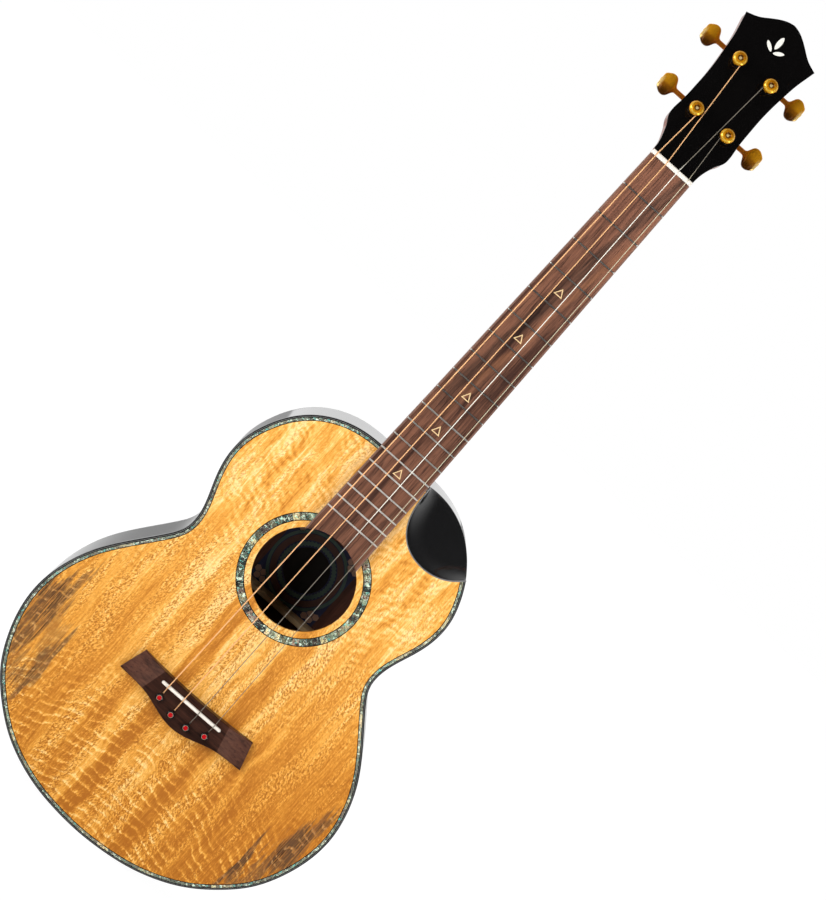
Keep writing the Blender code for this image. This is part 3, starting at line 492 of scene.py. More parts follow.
# --------------------------------------------------------------------- the figured top
# x across the top in mm, lightness from 0 to 1
TOP_BANDS = (
    (-140, .3), (-125, .45), (-111, .6), (-97, .55), (-88, .5), (-78, .34), (-70, .36),
    (-64, .7), (-55, .85), (-49, .4), (-42, .25), (-38, .75), (-27, .9), (-24.5, .12),
    (-14, .02), (-11, .7), (-5, .62), (0.2, .5), (1.0, .88), (9, .74), (14, .5), (19, .9),
    (24, .25), (31, .0), (36, .3), (41, .8), (49, .7), (56, .25), (63, .6), (71, .2),
    (82, .5), (118, .3))
TOP_COLOURS = (
    (0.0, (0.40, 0.150, 0.018)), (0.25, (0.57, 0.245, 0.032)), (0.5, (0.74, 0.370, 0.060)),
    (0.75, (0.87, 0.515, 0.130)), (1.0, (0.96, 0.70, 0.29)))
# dark patches: centre x, centre z, half width, half height, strength
SPALT_PATCHES = (
    (-126, 112, 15, 30, 1.05), (-128, 82, 12, 26, 0.95), (-101, 76, 7, 30, 0.9),
    (-113, 58, 9, 18, 0.7), (-110, 98, 7, 18, 0.45), (-117, 138, 6, 18, 0.75),
    (124, 93, 11, 26, 1.15), (130, 119, 5, 20, 0.85), (103.5, 64, 4.5, 28, 1.15),
    (112, 50, 6, 14, 0.6), (117, 70, 7, 15, 0.8))


def spalting(mat, colour, fibre, coarse_fibre, ripple_warp, jag):
    """Dark, streaked patches near the widest part of the body."""
    x, _, z = mat.xyz()
    warp_x = mat.noise_at(x * 0.16, 31.0, z * 0.020, detail=4.0, rough=0.65)
    warp_z = mat.noise_at(x * 0.30, 41.0, z * 0.012, detail=4.0, rough=0.65)
    patch_x = x + (warp_x - 0.5) * 26.0
    patch_z = z + (warp_z - 0.5) * 90.0
    patches = None
    for centre_x, centre_z, half_x, half_z, strength in SPALT_PATCHES:
        dx = (patch_x - centre_x) * (1.0 / half_x)
        dz = (patch_z - centre_z) * (1.0 / half_z)
        blob = mat.math("SUBTRACT", 1.0, dx * dx + dz * dz, clamp=True).rise(0.0, 0.7) * strength
        patches = blob if patches is None else mat.math("MAXIMUM", patches, blob)

    streaks = mat.noise_at(x * 0.85, 6.0, z * 0.030, detail=5.0, rough=0.75, twist=0.35)
    breakup = mat.noise_at(x * 0.14, 16.0, z * 0.045, detail=4.0, rough=0.65, twist=0.9)
    streaked = streaks * 0.60 + (breakup * 0.20 + fibre * 0.20)
    dark = patches * streaked.rise(0.40, 0.52)
    curl = mat.math("FRACT", (z * 0.13 + abs_x(mat) * 0.03) + (ripple_warp * 2.6 + jag))
    gap = curl.rise(0.0, 0.12) * curl.rise(0.36, 0.16)
    dark = dark * (1.0 - gap * (breakup.rise(0.40, 0.60) * 0.65))
    pale = patches * gap * (breakup.rise(0.42, 0.60) * coarse_fibre.rise(0.40, 0.56))
    lines = mat.noise_at(x * 0.95, 21.0, z * 0.028, rough=0.6).rise(0.57, 0.65) * patches
    colour = mat.mix(patches * 0.34, colour, (0.35, 0.165, 0.055))
    for mask, strength, rgb in ((dark, 0.90, (0.105, 0.050, 0.021)),
                                (pale, 0.34, (0.66, 0.40, 0.17)),
                                (lines, 0.88, (0.034, 0.015, 0.007))):
        share = mat.math("MULTIPLY", mask, strength, clamp=True)
        colour = mat.mix(share, colour, rgb)
    return colour


def abs_x(mat):
    """Distance from the centre line, made once for each material."""
    if not hasattr(mat, "from_centre"):
        mat.from_centre = abs(mat.xyz()[0])
    return mat.from_centre


def figured_top():
    mat = material("mango_top")
    x, _, z = mat.xyz()
    from_centre = abs_x(mat)
    side = mat.math("SIGN", x)
    sway = mat.noise_at(from_centre * 0.02, 0.0, z * 0.022, detail=2.0)
    waver = mat.noise_at(from_centre * 0.07, 3.0, z * 0.05, rough=0.55)
    across = x + (sway - 0.5) * (side * 14.0) + (waver - 0.5) * 6.0
    swayed = abs(across)

    # broad light and amber bands on the lower bout, clouds above the waist
    stops = [((place + 145) / 290.0, light) for place, light in TOP_BANDS]
    bands = mat.ramp(across.scaled(1 / 290.0, 0.5), stops)
    broad = mat.noise_at(swayed * 0.085, 1.0, z * 0.0075, detail=4.0, rough=0.55, twist=0.5)
    narrow = mat.noise_at(swayed * 0.30, 5.0, z * 0.014, detail=4.0, rough=0.62, twist=0.5)
    cloud = mat.noise_at(swayed * 0.075, 9.0, z * 0.026, detail=4.0, rough=0.6, twist=0.9)
    upper = z.rise(222.0, 258.0)
    broad = broad.rise(0.36, 0.62)
    narrow = narrow.rise(0.36, 0.64)
    lower_tone = bands * 0.74 + (broad * 0.10 + narrow * 0.18)
    upper_tone = broad * 0.22 + narrow * 0.26 + cloud.rise(0.32, 0.66) * 0.38
    tone = lower_tone * (1.0 - upper) + upper_tone * upper
    tone += (cloud - 0.5) * (1.0 - upper).scaled(0.35, 0.1)

    # fibres and interlocked pores: short slanted dashes, thickest where the wood is pale
    fibre = mat.noise_at(x * 1.0, 0.0, z * 0.055, detail=5.0, rough=0.72, twist=0.3)
    coarse_fibre = mat.noise_at(x * 0.50, 4.0, z * 0.030, rough=0.6, twist=0.5)
    slant_x = from_centre * 0.93 + z * 0.36
    slant_z = z * 0.93 - from_centre * 0.36
    pore = mat.noise_at(slant_x * 0.80, side * 3.0, slant_z * 0.42,
                        detail=4.0, rough=0.75, twist=0.5)
    zone = mat.noise_at(swayed * 0.10, 11.0, z * 0.013, detail=2.0).rise(0.40, 0.58)
    pores = pore.rise(0.50, 0.55) * ((zone * tone.rise(0.25, 0.6)).scaled(0.72, 0.28)
                                     * (1.0 - upper * 0.45))
    glint = pore.rise(0.47, 0.41) * zone.scaled(0.7, 0.3)
    dashes = mat.noise_at(x * 1.9, 8.0, z * 0.30, detail=1.0).rise(0.68, 0.76)

    # ripples across the grain: thin arcs over the tail, feathery waves further up
    arc = from_centre * from_centre * 0.0028
    ripple_warp = mat.noise_at(from_centre * 0.045, 2.0, z * 0.05, rough=0.6)
    jag = (coarse_fibre - 0.5) * 0.35
    saw = mat.math("FRACT", (z + arc) * (1 / 7.6) + ripple_warp * 2.4 + jag)
    line = saw.rise(0.0, 0.10) * saw.rise(0.38, 0.14) * coarse_fibre.rise(0.34, 0.50)
    shadow = saw.rise(0.30, 0.85) * saw.rise(1.0, 0.9)
    patchy = mat.noise_at(from_centre * 0.065, 7.0, z * 0.035, rough=0.55)
    tail = z.rise(118.0, 66.0) * patchy.rise(0.36, 0.54)
    feather_warp = mat.noise_at(from_centre * 0.09, 4.0, z * 0.05, rough=0.6)
    phase = z * 0.15 + from_centre * -0.075 + (feather_warp * 3.0 + jag)
    feather = mat.wave(phase * 6.2832)
    upper_mask = z.rise(190.0, 240.0) * patchy.rise(0.40, 0.60)
    middle_mask = z.rise(50.0, 90.0) * z.rise(235.0, 170.0) * patchy.rise(0.50, 0.66)
    tone += (fibre - 0.5) * 1.40
    tone += (coarse_fibre - 0.5) * 0.40
    tone += tail * line * 0.46
    tone -= tail * shadow * 0.14
    tone += upper_mask * (feather - 0.5) * 0.32
    tone += middle_mask * (feather - 0.5) * 0.22

    # paler towards the neck, deeper towards the tail and the treble rim
    tailward = z.rise(345.0, 10.0)
    treble = x.rise(20.0, 130.0) * z.rise(230.0, 90.0)
    rim_shade = from_centre.rise(84.0, 140.0) * z.rise(250.0, 130.0)
    tone += tailward.scaled(-0.40, 0.20)
    tone -= treble * 0.16
    tone += glint * upper.scaled(-0.12, 0.26)
    colour = mat.ramp(tone.scaled(1.0, 0.0, clamp=True), TOP_COLOURS)
    colour = mat.mix(pores * 0.90, colour, (0.31, 0.110, 0.015))
    colour = mat.mix(dashes * 0.60, colour, (0.30, 0.10, 0.012))
    centre_joint = abs(x - 0.4).rise(0.4, 0.1) * (z.rise(150.0, 90.0) * 0.45)
    colour = mat.mix(centre_joint, colour, (0.40, 0.16, 0.03))
    cast = mat.mix(tailward, (0.98, 0.895, 0.93), (0.895, 0.80, 0.69))
    cast = mat.mix(treble * 0.5, cast, (0.90, 0.77, 0.56))
    cast = mat.mix(rim_shade * 0.30, cast, (0.82, 0.70, 0.52))
    colour = mat.tint(colour, cast)
    colour = spalting(mat, colour, fibre, coarse_fibre, ripple_warp, jag)
    normal = mat.bump(tail * line * 0.5 + fibre * 0.2, strength=0.06, distance=0.0002)
    return mat.pbr(colour, rough=0.45, coat=1.0, coat_rough=0.02, normal=normal, spec=0.15)


# a shell piece's own colour, the tints that swirl through it, and how bright the piece is
SHELL_COLOURS = (
    (0.0, (0.115, 0.112, 0.080)), (0.14, (0.080, 0.110, 0.088)), (0.28, (0.33, 0.29, 0.19)),
    (0.42, (0.028, 0.030, 0.030)), (0.56, (0.21, 0.195, 0.125)), (0.70, (0.105, 0.130, 0.100)),
    (0.84, (0.120, 0.088, 0.080)))
SHELL_SWIRLS = (
    (0.32, (0.15, 0.16, 0.16)), (0.42, (1.0, 1.15, 1.05)), (0.50, (2.3, 2.1, 1.8)),
    (0.55, (0.6, 0.56, 0.5)), (0.62, (1.6, 1.25, 1.5)), (0.70, (0.2, 0.2, 0.2)))
SHELL_LOTS = (
    (0.0, (0.38, 0.38, 0.38)), (0.3, (0.95, 0.95, 0.92)), (0.6, (2.1, 2.0, 1.75)),
    (0.8, (0.75, 0.78, 0.78)))


def abalone(name, grey=0.0, crack=0.92):
    """Iridescent shell; the faces' seed attribute gives each piece its own pattern."""
    mat = material(name)

    def multiply_add(vector, factor, offset):
        return mat.value("VectorMath", {0: vector, 1: (factor,) * 3, 2: offset},
                         operation="MULTIPLY_ADD")

    seed = mat.value("Attribute", {}, "Fac", attribute_name="seed")
    shift = mat.vector(seed * 37.0, seed * 91.0, seed * 53.0)
    place = multiply_add(mat.place, 1000.0, shift)
    warp = mat.noise(place, scale=0.30, rough=0.6, result="Color")
    warped = multiply_add(warp, 6.0, place)
    swirl = mat.noise(warped, scale=0.40, detail=4.0, rough=0.7, twist=1.2)
    cracks = mat.noise(warped, scale=0.60, rough=0.60, twist=1.1)
    flash = mat.noise(warped, scale=0.42, detail=2.0, twist=1.4)
    base = mat.ramp(mat.math("FRACT", seed * 7.31), SHELL_COLOURS, "CONSTANT")
    colour = mat.tint(base, mat.ramp(swirl, SHELL_SWIRLS))
    lot = mat.ramp(mat.math("FRACT", seed * 13.7), SHELL_LOTS, "CONSTANT")
    colour = mat.tint(colour, lot)
    colour = mat.mix(grey, colour, (0.30, 0.30, 0.24))
    colour = mat.mix(cracks.rise(0.51, 0.55) * crack, colour, (0.006, 0.007, 0.008))
    colour = mat.mix(flash.rise(0.59, 0.62) * 0.9, colour, (0.72, 0.86, 0.68))
    teal = mat.noise(warped, scale=0.55, detail=1.0, twist=0.8)
    colour = mat.mix(teal.rise(0.65, 0.68) * 0.85, colour, (0.13, 0.60, 0.52))
    colour = mat.tint(colour, (0.95, 0.95, 0.95))
    normal = mat.bump(cracks, strength=0.25, distance=0.0003)
    return mat.pbr(colour, rough=0.35, coat=0.8, normal=normal, spec=0.3)


def board_shade(mat, colour):
    """Paler towards the nut, with a dark band and a golden one that cross it aslant."""
    x, _, z = mat.xyz()
    slant = 0.112
    dim = mat.tint(colour, (0.86, 0.85, 0.84))
    pale = mat.tint(mat.mix(0.12, colour, (0.24, 0.110, 0.070)), (1.08, 1.06, 1.05))
    colour = mat.mix(z.rise(460.0, 620.0), dim, pale)
    warp = (mat.noise_at(x * 0.10, 0.0, z * 0.030) - 0.5) * 9.0
    from_band = x - (z - 528.0) * slant + warp
    fibre = mat.noise_at((x - z * slant) * 0.75, 0.0, z * 0.020).rise(0.38, 0.58)
    reach = z.rise(385.0, 440.0) * fibre.scaled(0.35, 0.65)
    dark = abs(from_band).rise(6.2, 1.6) * reach * 0.95
    colour = mat.mix(dark, colour, mat.tint(colour, (0.38, 0.44, 0.50)))
    gold = abs(from_band - 8.6).rise(3.4, 0.8) * z.rise(600.0, 560.0) * (reach * 0.36)
    return mat.mix(gold, colour, (0.29, 0.120, 0.054))


def bridge_shade(mat, colour):
    """Painted light: the middle is painted darker than the sloping wings, which carry a painted sheen
    that is palest along the folds.
    """
    x, _, z = mat.xyz()
    fold = ((NUT_Z - 509.5) - z).scaled(5.0 / 19.4, 30.8)
    beyond = abs(x) - fold
    wing = beyond.rise(-0.25, 0.25)
    sheen = wing * beyond.rise(19.0, 0.0)
    # painted shade on the flat middle, then a painted sheen on the wings near the folds
    colour = mat.mix(wing, mat.tint(colour, (0.52, 0.50, 0.50)), colour)
    return mat.mix(sheen * 0.20, colour, (0.115, 0.060, 0.042))


def plain_string():
    """Clear filament: dim over the body, paler over the board with a painted highlight."""
    mat = material("plain_string")
    x, _, z = mat.xyz()
    # painted highlight over the board, brighter on the string nearer the middle
    painted_highlight_over_board = z.rise(265.0, 330.0) * z.rise(655.0, 640.0)
    lit = mat.mix(x.rise(9.0, 11.0), (0.88, 0.86, 0.76), (0.55, 0.50, 0.35))
    colour = mat.mix(painted_highlight_over_board, (0.16, 0.140, 0.110), lit)
    streaks = mat.noise_at(x * 2.0, 0.0, z * 0.25)
    colour = mat.mix(streaks * 0.25, colour, (0.12, 0.11, 0.09))
    return mat.pbr(colour, rough=0.35, spec=0.3)


def wound_string():
    """Wrapped wire: fine turns across the string, 0.42 mm apart."""
    mat = material("wound_string")
    light, dark = (1.0, 0.58, 0.28), (0.72, 0.36, 0.15)
    turns = mat.wave(mat.xyz()[2] * (6.2832 / 0.42))
    specks = mat.noise(mat.place, scale=300.0)
    # the turns are painted darker in a wave, as shade in the grooves between them
    colour = mat.mix(turns * 0.30, light, dark)
    colour = mat.mix(specks * 0.2, colour, dark)
    normal = mat.bump(turns, strength=0.12, distance=0.0001)
    return mat.pbr(colour, rough=0.4, metal=0.45, normal=normal)


TOP_WOOD = figured_top()
SHELL = abalone("abalone_ring")
RIM_SHELL = abalone("abalone_rim", grey=0.38, crack=0.80)
BLACK = gloss("black_lacquer", (0.0035, 0.0035, 0.0038), rough=0.05)
SCOOP_BLACK = gloss("scoop_lacquer", (0.0075, 0.0075, 0.0078), rough=0.07, spec=0.4)
# the scoop's black lip, coloured mid grey as a painted highlight along its rounded edge
LIP_PAINTED_HIGHLIGHT = gloss("scoop_lip_painted_highlight", (0.15, 0.15, 0.15), rough=0.14, spec=0.9, coat=1.0)
BINDING = gloss("black_binding", (0.006, 0.006, 0.006), rough=0.12)
HEAD_BLACK = gloss("head_face_black", (0.0016, 0.0014, 0.0014), rough=0.06, spec=0.35)
BLACK_LINE = gloss("line_black", (0.006, 0.006, 0.006), rough=0.15, spec=0.3)
# a grey line painted as the highlight on the binding's rounded edge
PAINTED_HIGHLIGHT_LINE = gloss("line_painted_highlight", (0.16, 0.16, 0.155), rough=0.3, spec=0.3)
WHITE_LINE = gloss("line_white", (0.80, 0.79, 0.75), rough=0.25)
MAHOGANY = wood("neck_mahogany", (0.300, 0.100, 0.060), (0.170, 0.048, 0.028),
                (0.05, 0.015, 0.01), rough=0.34, coat=0.25)
INNER_MAHOGANY = wood("inner_mahogany", (0.17, 0.062, 0.038), (0.075, 0.026, 0.016),
                      (0.03, 0.010, 0.007), rough=0.6)
ROSEWOOD = wood("board_rosewood", (0.222, 0.095, 0.056), (0.054, 0.023, 0.016),
                (0.026, 0.011, 0.008), rough=0.50, fine=1.7, streak=0.38, pore_from=0.58,
                pore_stretch=0.055, spec=0.22, shade=board_shade)
BOARD_EDGE = wood("board_edge", (0.230, 0.120, 0.085), (0.130, 0.066, 0.048),
                  (0.06, 0.03, 0.02), rough=0.42, fine=2.0, streak=0.8)
BRIDGE_WOOD = wood("bridge_rosewood", (0.098, 0.036, 0.021), (0.018, 0.006, 0.004),
                   (0.008, 0.003, 0.002), rough=0.38, fine=1.0, along="x", streak=0.46,
                   pore_from=0.60, spec=0.28, shade=bridge_shade)
SPRUCE = wood("brace_spruce", (0.58, 0.40, 0.21), (0.42, 0.26, 0.12), (0.30, 0.17, 0.08),
              rough=0.6, fine=1.8)
CROSS_SPRUCE = wood("brace_spruce_cross", (0.62, 0.44, 0.24), (0.46, 0.30, 0.15),
                    (0.32, 0.20, 0.10), rough=0.6, fine=1.8, along="x")
MAPLE = gloss("inlay_maple", (0.70, 0.50, 0.26), rough=0.35, spec=0.4)
BONE = gloss("bone_white", (0.72, 0.675, 0.60), rough=0.35, spec=0.4, speck=0.02)
WHITE_SHELL = gloss("shell_white", (0.62, 0.61, 0.56), rough=0.25)
GOLD = metal("gold_plate", (0.95, 0.58, 0.11), (0.86, 0.47, 0.06), rough=0.12, scale=25.0, part=0.86)
POST_GOLD = turned_gold()
KNOB_GOLD = knob_gold()
DARK_GOLD = metal("gold_knob", (0.70, 0.35, 0.034), (0.46, 0.21, 0.018),
                  rough=0.20, scale=70.0, part=0.90)
STEEL = metal("rod_steel", (0.40, 0.40, 0.41), (0.28, 0.28, 0.29), rough=0.35)
# the fret nickel in a lit copy and two copies with painted shade
FRET = metal("fret_nickel", (0.78, 0.77, 0.72), (0.62, 0.61, 0.57), rough=0.28, part=0.5)
FRET_SHADED = metal("fret_nickel_shaded", (0.17, 0.155, 0.14), (0.10, 0.09, 0.085),
                    rough=0.35, part=0.5)
FRET_HALF_SHADED = metal("fret_nickel_worn", (0.40, 0.39, 0.36), (0.28, 0.27, 0.25), rough=0.32, part=0.5)
PLAIN_STRING = plain_string()
WOUND_STRING = wound_string()
PIN_BLACK = gloss("pin_black", (0.008, 0.008, 0.008), rough=0.12)
PIN_RING = metal("pin_ring", (0.62, 0.55, 0.42), (0.40, 0.34, 0.25), rough=0.2, part=0.6)
PIN_RED = gloss("pin_red", (0.36, 0.004, 0.007), rough=0.07, spec=0.45)
LABEL = {word: gloss("label_" + word, rgb, rough=0.7, spec=0.2) for word, rgb in (
    ("paper", (0.030, 0.022, 0.022)), ("green", (0.085, 0.125, 0.105)),
    ("brown", (0.115, 0.058, 0.045)), ("dark", (0.020, 0.016, 0.015)),
    ("tile", (0.40, 0.24, 0.17)), ("blue", (0.040, 0.042, 0.085)))}

# ============================================================================ the body
# the treble half of the body's outline, (x, z) from the tail round to the neck
OUTLINE = [
    (0, 0), (22, 1.2), (44, 4.6), (66, 11.4), (86, 21.4), (105, 36),
    (121, 53), (133, 75), (140, 99), (141.2, 119), (137.5, 140),
    (127, 165), (111.5, 187.5), (96, 207.5), (88.3, 221), (87.4, 231.5),
    (91, 247), (96.6, 262.5), (100.4, 279), (100.2, 295), (95.6, 311),
    (86, 329), (73, 343), (57, 352.6), (42, 357.3), (27, 359), (12, 359), (0, 359)]
# the treble shoulder scoop's inner edge on the soundboard, (x, z) from the neck outwards
SCOOP = [(24.2, 359.0), (24.6, 349), (26.2, 338), (31.0, 326), (40.5, 316.5),
         (54, 312.0), (67, 312.6), (78.5, 317.3), (88.6, 326.0)]
SAMPLES = 3001      # points along the half outline
_curve, _knots = spline(OUTLINE + [(-x, z) for x, z in OUTLINE[-2:0:-1]], closed=True)
EDGE = _curve(np.linspace(0, _knots[len(OUTLINE) - 1], SAMPLES))
_tangents = unit_tangents(EDGE)
EDGE_NORMAL = np.stack([_tangents[:, 1], -_tangents[:, 0]], 1)
EDGE_NORMAL[0], EDGE_NORMAL[-1] = (0, -1), (0, 1)
_steps = np.sqrt((np.gradient(EDGE, axis=0) ** 2).sum(1))
EDGE_LENGTH = np.concatenate([[0], np.cumsum((_steps[1:] + _steps[:-1]) / 2)])


def edge_point(i, inset, side=1):
    point = EDGE[i] - inset * EDGE_NORMAL[i]
    return (side * point[0], point[1])


def edge_ring(i, profile, side):
    """The (inset, y) profile set at outline sample i."""
    ring = []
    for inset, y in profile:
        x, z = edge_point(i, inset, side)
        ring.append((x, y, z))
    return ring


def sample_at(length):
    return int(round(np.interp(length, EDGE_LENGTH, np.arange(SAMPLES))))


def stations(count, first=0, last=SAMPLES - 1):
    """Samples evenly spaced along the outline."""
    lengths = np.linspace(EDGE_LENGTH[first], EDGE_LENGTH[last], count + 1)
    return [sample_at(length) for length in lengths]


def all_round(count):
    """(sample, side) pairs round the whole body, up the treble side and down the bass side."""
    samples = stations(count)
    return [(i, 1) for i in samples] + [(i, -1) for i in samples[-2:0:-1]]


def body_loop(inset, count=170):
    return [edge_point(i, inset, side) for i, side in all_round(count)]


def rim(profile, count=170):
    return loft([edge_ring(i, profile, side) for i, side in all_round(count)], closed=True)


_scoop_curve, _scoop_knots = spline(SCOOP)


def scoop_point(share):
    return _scoop_curve([share * _scoop_knots[-1]])[0]


def nearest_sample(point):
    return int(np.argmin(((EDGE - np.array(point)) ** 2).sum(1)))


SCOOP_OUT, SCOOP_NECK = nearest_sample(SCOOP[-1]), nearest_sample(SCOOP[0])
SCOOP_SPAN = EDGE_LENGTH[SCOOP_OUT] - EDGE_LENGTH[SCOOP_NECK]


def scoop_sample(share):
    """The outline sample across from a share of the way along the scoop."""
    return sample_at(EDGE_LENGTH[SCOOP_NECK] + SCOOP_SPAN * share)


def scoop_depth(share):
    return BINDING_DEPTH + 24.0 * max(0.0, sin(pi * share)) ** 0.8


def scoop_tool():
    """What the scoop takes from the soundboard and its binding."""
    points = np.array([scoop_point(share) for share in np.linspace(0, 1, 61)])
    tangents = unit_tangents(points)
    points = points + 0.05 * np.stack([tangents[:, 1], -tangents[:, 0]], 1)
    points[0] = (points[0][0], 366)
    points[-1] = points[-1] + (9, 4)
    return plate([(float(x), float(z)) for x, z in points] + [(112, 340), (100, 372)], -1.5, 12.0)


def pin_hole(x, z):
    """A round hole with a slot for the string towards the saddle."""
    half_slot, radius = 0.85, 2.6
    start = asin(half_slot / radius)
    angles = [pi / 2 + start + (2 * pi - 2 * start) * k / 27.0 for k in range(28)]
    outline = [(x + radius * cos(a), z + radius * sin(a)) for a in angles]
    return plate(outline + [(x + half_slot, z + 4.75), (x - half_slot, z + 4.75)], -12.0, 9.0)


SCOOP_TOOL = scoop_tool()
PIN_CUTS = [pin_hole(x, z) for _, x, z in PINS]

# soundboard, with its hole, the rosette's channel and the pin holes
INNER_LINE = (42.95, 43.55)     # radii of the two black rings beside the rosette's shell
OUTER_LINE = (48.65, 49.25)
build("top_wood", plate(body_loop(4.3), 0, TOP_THICK), TOP_WOOD, "soundboard_wood",
      replaces="soundboard", cut_smooth=20,
      cuts=[lathe([(HOLE_R, -2), (HOLE_R, 6)], 160, 0, HOLE_Z),
            annulus(INNER_LINE[0], OUTER_LINE[1], -1, 1.05, 160, z=HOLE_Z),
            SCOOP_TOOL] + PIN_CUTS)
build("hole_edge", annulus(HOLE_R - 0.02, HOLE_R + 0.5, -0.03, TOP_THICK - 0.02, 160,
                           z=HOLE_Z, ease=0.2), TOP_WOOD, "soundboard_wood")


def patch_seeds(sections, faces_each):
    """Random seeds for shell pieces that each run over 2 to 7 sections."""
    seeds, left = [], 0
    for _ in range(sections):
        if left <= 0:
            left, seed = RNG.randint(2, 7), RNG.random()
        left -= 1
        seeds += [seed] * faces_each
    return seeds


# strips round the soundboard's edge; profiles are (inset, y)
ROUNDING = [(BINDING_ROUND * (1 - cos(a)), BINDING_ROUND * (1 - sin(a)))
            for a in (0, pi / 8, pi / 4, 3 * pi / 8, pi / 2)]
RIM_STRIPS = (
    ("top_rim_binding", [(0, BINDING_DEPTH), *ROUNDING, (1.9, 0.0), (1.9, BINDING_DEPTH)],
     BINDING, "binding", 170),
    ("rim_abalone", [(1.9, 0.0), (3.75, 0.0), (3.75, 1.4), (1.9, 1.4)],
     RIM_SHELL, "shell_inlay", 340),
    ("rim_inner_line", [(3.75, -0.01), (4.3, -0.01), (4.3, 2.4), (3.75, 2.4)],
     BLACK_LINE, "binding", 170),
    # grey strip on the binding, a painted highlight of its rounded outer edge
    ("rim_painted_highlight", [(0.95, -0.012), (1.2, -0.012), (1.2, 0.6), (0.95, 0.6)],
     PAINTED_HIGHLIGHT_LINE, "binding", 170),
    ("rim_ledge", [(1.9, 1.45), (3.75, 1.45), (3.75, BINDING_DEPTH), (1.9, BINDING_DEPTH)],
     BLACK_LINE, "binding", 120))
for name, profile, look, slot, count in RIM_STRIPS:
    build(name, rim(profile, count), look, slot, cuts=[SCOOP_TOOL],
          seeds=patch_seeds(2 * count, len(profile)) if look is RIM_SHELL else None,
          replaces="top_binding" if name == "top_rim_binding" else None)

# back: flat plate, rounded binding, inner face of bare wood
build("back_panel", plate(body_loop(2.4), INSIDE_Y, BODY_DEPTH), BLACK, "black_gloss",
      replaces="back_plate")
BACK_EDGE = BODY_DEPTH - BINDING_DEPTH
build("back_rim_binding",
      rim([(0, BACK_EDGE)] + [(inset, BODY_DEPTH - y) for inset, y in ROUNDING]
          + [(2.0, BODY_DEPTH), (2.0, BACK_EDGE)]), BINDING, "binding", replaces="back_binding")
build("back_rim_line", rim([(2.0, BODY_DEPTH - 0.01), (2.4, BODY_DEPTH - 0.01),
                            (2.4, BODY_DEPTH - 1.5), (2.0, BODY_DEPTH - 1.5)]),
      WHITE_LINE, "binding")
build("back_inside", plate(body_loop(11.5, 90), INSIDE_Y - 0.25, INSIDE_Y - 0.02),
      INNER_MAHOGANY, "block_wood")


def side_samples(side):
    """Outline samples from the tail to the neck; the treble side's follow the scoop."""
    tail = int(np.argmin(np.abs(EDGE[:1500, 0] - 0.05)))
    neck = 1500 + int(np.argmin(np.abs(EDGE[1500:, 0] - 8.0)))
    if side < 0:
        return stations(190, tail, neck)
    return (stations(120, tail, SCOOP_OUT)
            + [scoop_sample(share) for share in np.linspace(0.985, 0.015, 60)]
            + stations(8, SCOOP_NECK, neck))


def wall(side):
    """The bent side, and the (sample, y) rows that its top and back linings follow."""
    rings, top_row, back_row = [], [], []
    for i in side_samples(side):
        top, drop = BINDING_DEPTH, 0.0
        if side > 0 and SCOOP_OUT < i < SCOOP_NECK:
            share = (EDGE_LENGTH[i] - EDGE_LENGTH[SCOOP_NECK]) / SCOOP_SPAN
            top = scoop_depth(share) + BINDING_ROUND
            lowered = top - BINDING_DEPTH
            drop = lowered + min(7.5, 2.6 * lowered)
        elif side > 0 and i <= SCOOP_OUT:
            before = EDGE_LENGTH[SCOOP_OUT] - EDGE_LENGTH[i]
            drop = 8.5 * max(0.0, 1 - max(0.0, before - 8) / 10.0)
        rings.append(edge_ring(i, [(0.0, top), (0.0, BACK_EDGE), (2.2, BACK_EDGE), (2.2, top)],
                               side))
        if abs(EDGE[i, 0]) > 27:
            top_row.append((i, TOP_THICK + 0.2 + drop))
            back_row.append((i, INSIDE_Y - 0.3))
    return loft(rings), top_row, back_row


def lining(row, side, direction):
    """Small wedge-shaped blocks in a row against the side; direction is the taper's, in y."""
    lengths = EDGE_LENGTH[[i for i, _ in row]]
    depths = [y for _, y in row]
    blocks = []
    place = lengths[0] + 2
    while place < lengths[-1] - 4:
        y = float(np.interp(place + 2, lengths, depths))
        profile = [(2.15, y), (7.2, y), (7.0, y + 4.5 * direction), (2.15, y + 11.0 * direction)]
        blocks.append(loft([edge_ring(sample_at(end), profile, side)
                            for end in (place, place + 4.2)]))
        place += 5.4
    return join(blocks)


for side, tag in ((1, "treble"), (-1, "bass")):
    shape, top_row, back_row = wall(side)
    build(tag + "_rib", shape, BLACK, "black_gloss", replaces=tag + "_side")
    build(tag + "_lining_top", lining(top_row, side, 1), SPRUCE, "brace_wood", smooth=0)
    build(tag + "_lining_back", lining(back_row, side, -1), SPRUCE, "brace_wood", smooth=0)


def scoop_section(share):
    """One closed section of the scoop: its face, rounded outer edge and underside."""
    i = scoop_sample(share)
    inner, outer = scoop_point(share), EDGE[i]
    depth = scoop_depth(share)
    width = float(np.hypot(*(outer - inner)))
    rounding = min(BINDING_ROUND, 0.3 * width)

    def fall(v):
        return depth * (v + 0.14 * sin(pi * v))

    ring = [(inner[0], 0.9, inner[1])]
    for j in range(35):
        v = (j / 34) ** 1.35 * (1 - rounding / width)
        x, z = inner * (1 - v) + outer * v
        y = fall(v)
        # the face eases into the soundboard's level near the inner edge
        ring.append((x, y * y / (y + 1.5 * (1 - v) + 1e-6), z))
    across = (outer - inner) / width
    for degrees in (22.5, 45, 67.5, 90):
        a = radians(degrees)
        x, z = outer - across * rounding * (1 - sin(a))
        ring.append((x, depth + 0.9 * (1 - cos(a)), z))
    for j in range(18):
        v = 1 - j / 17
        x, z = inner * (1 - v) + outer * v - EDGE_NORMAL[i] * min(2.2, 0.5 * width) * v
        ring.append((x, fall(v) + 2.2 * (1 - v) + 0.9 * v, z))
    return ring


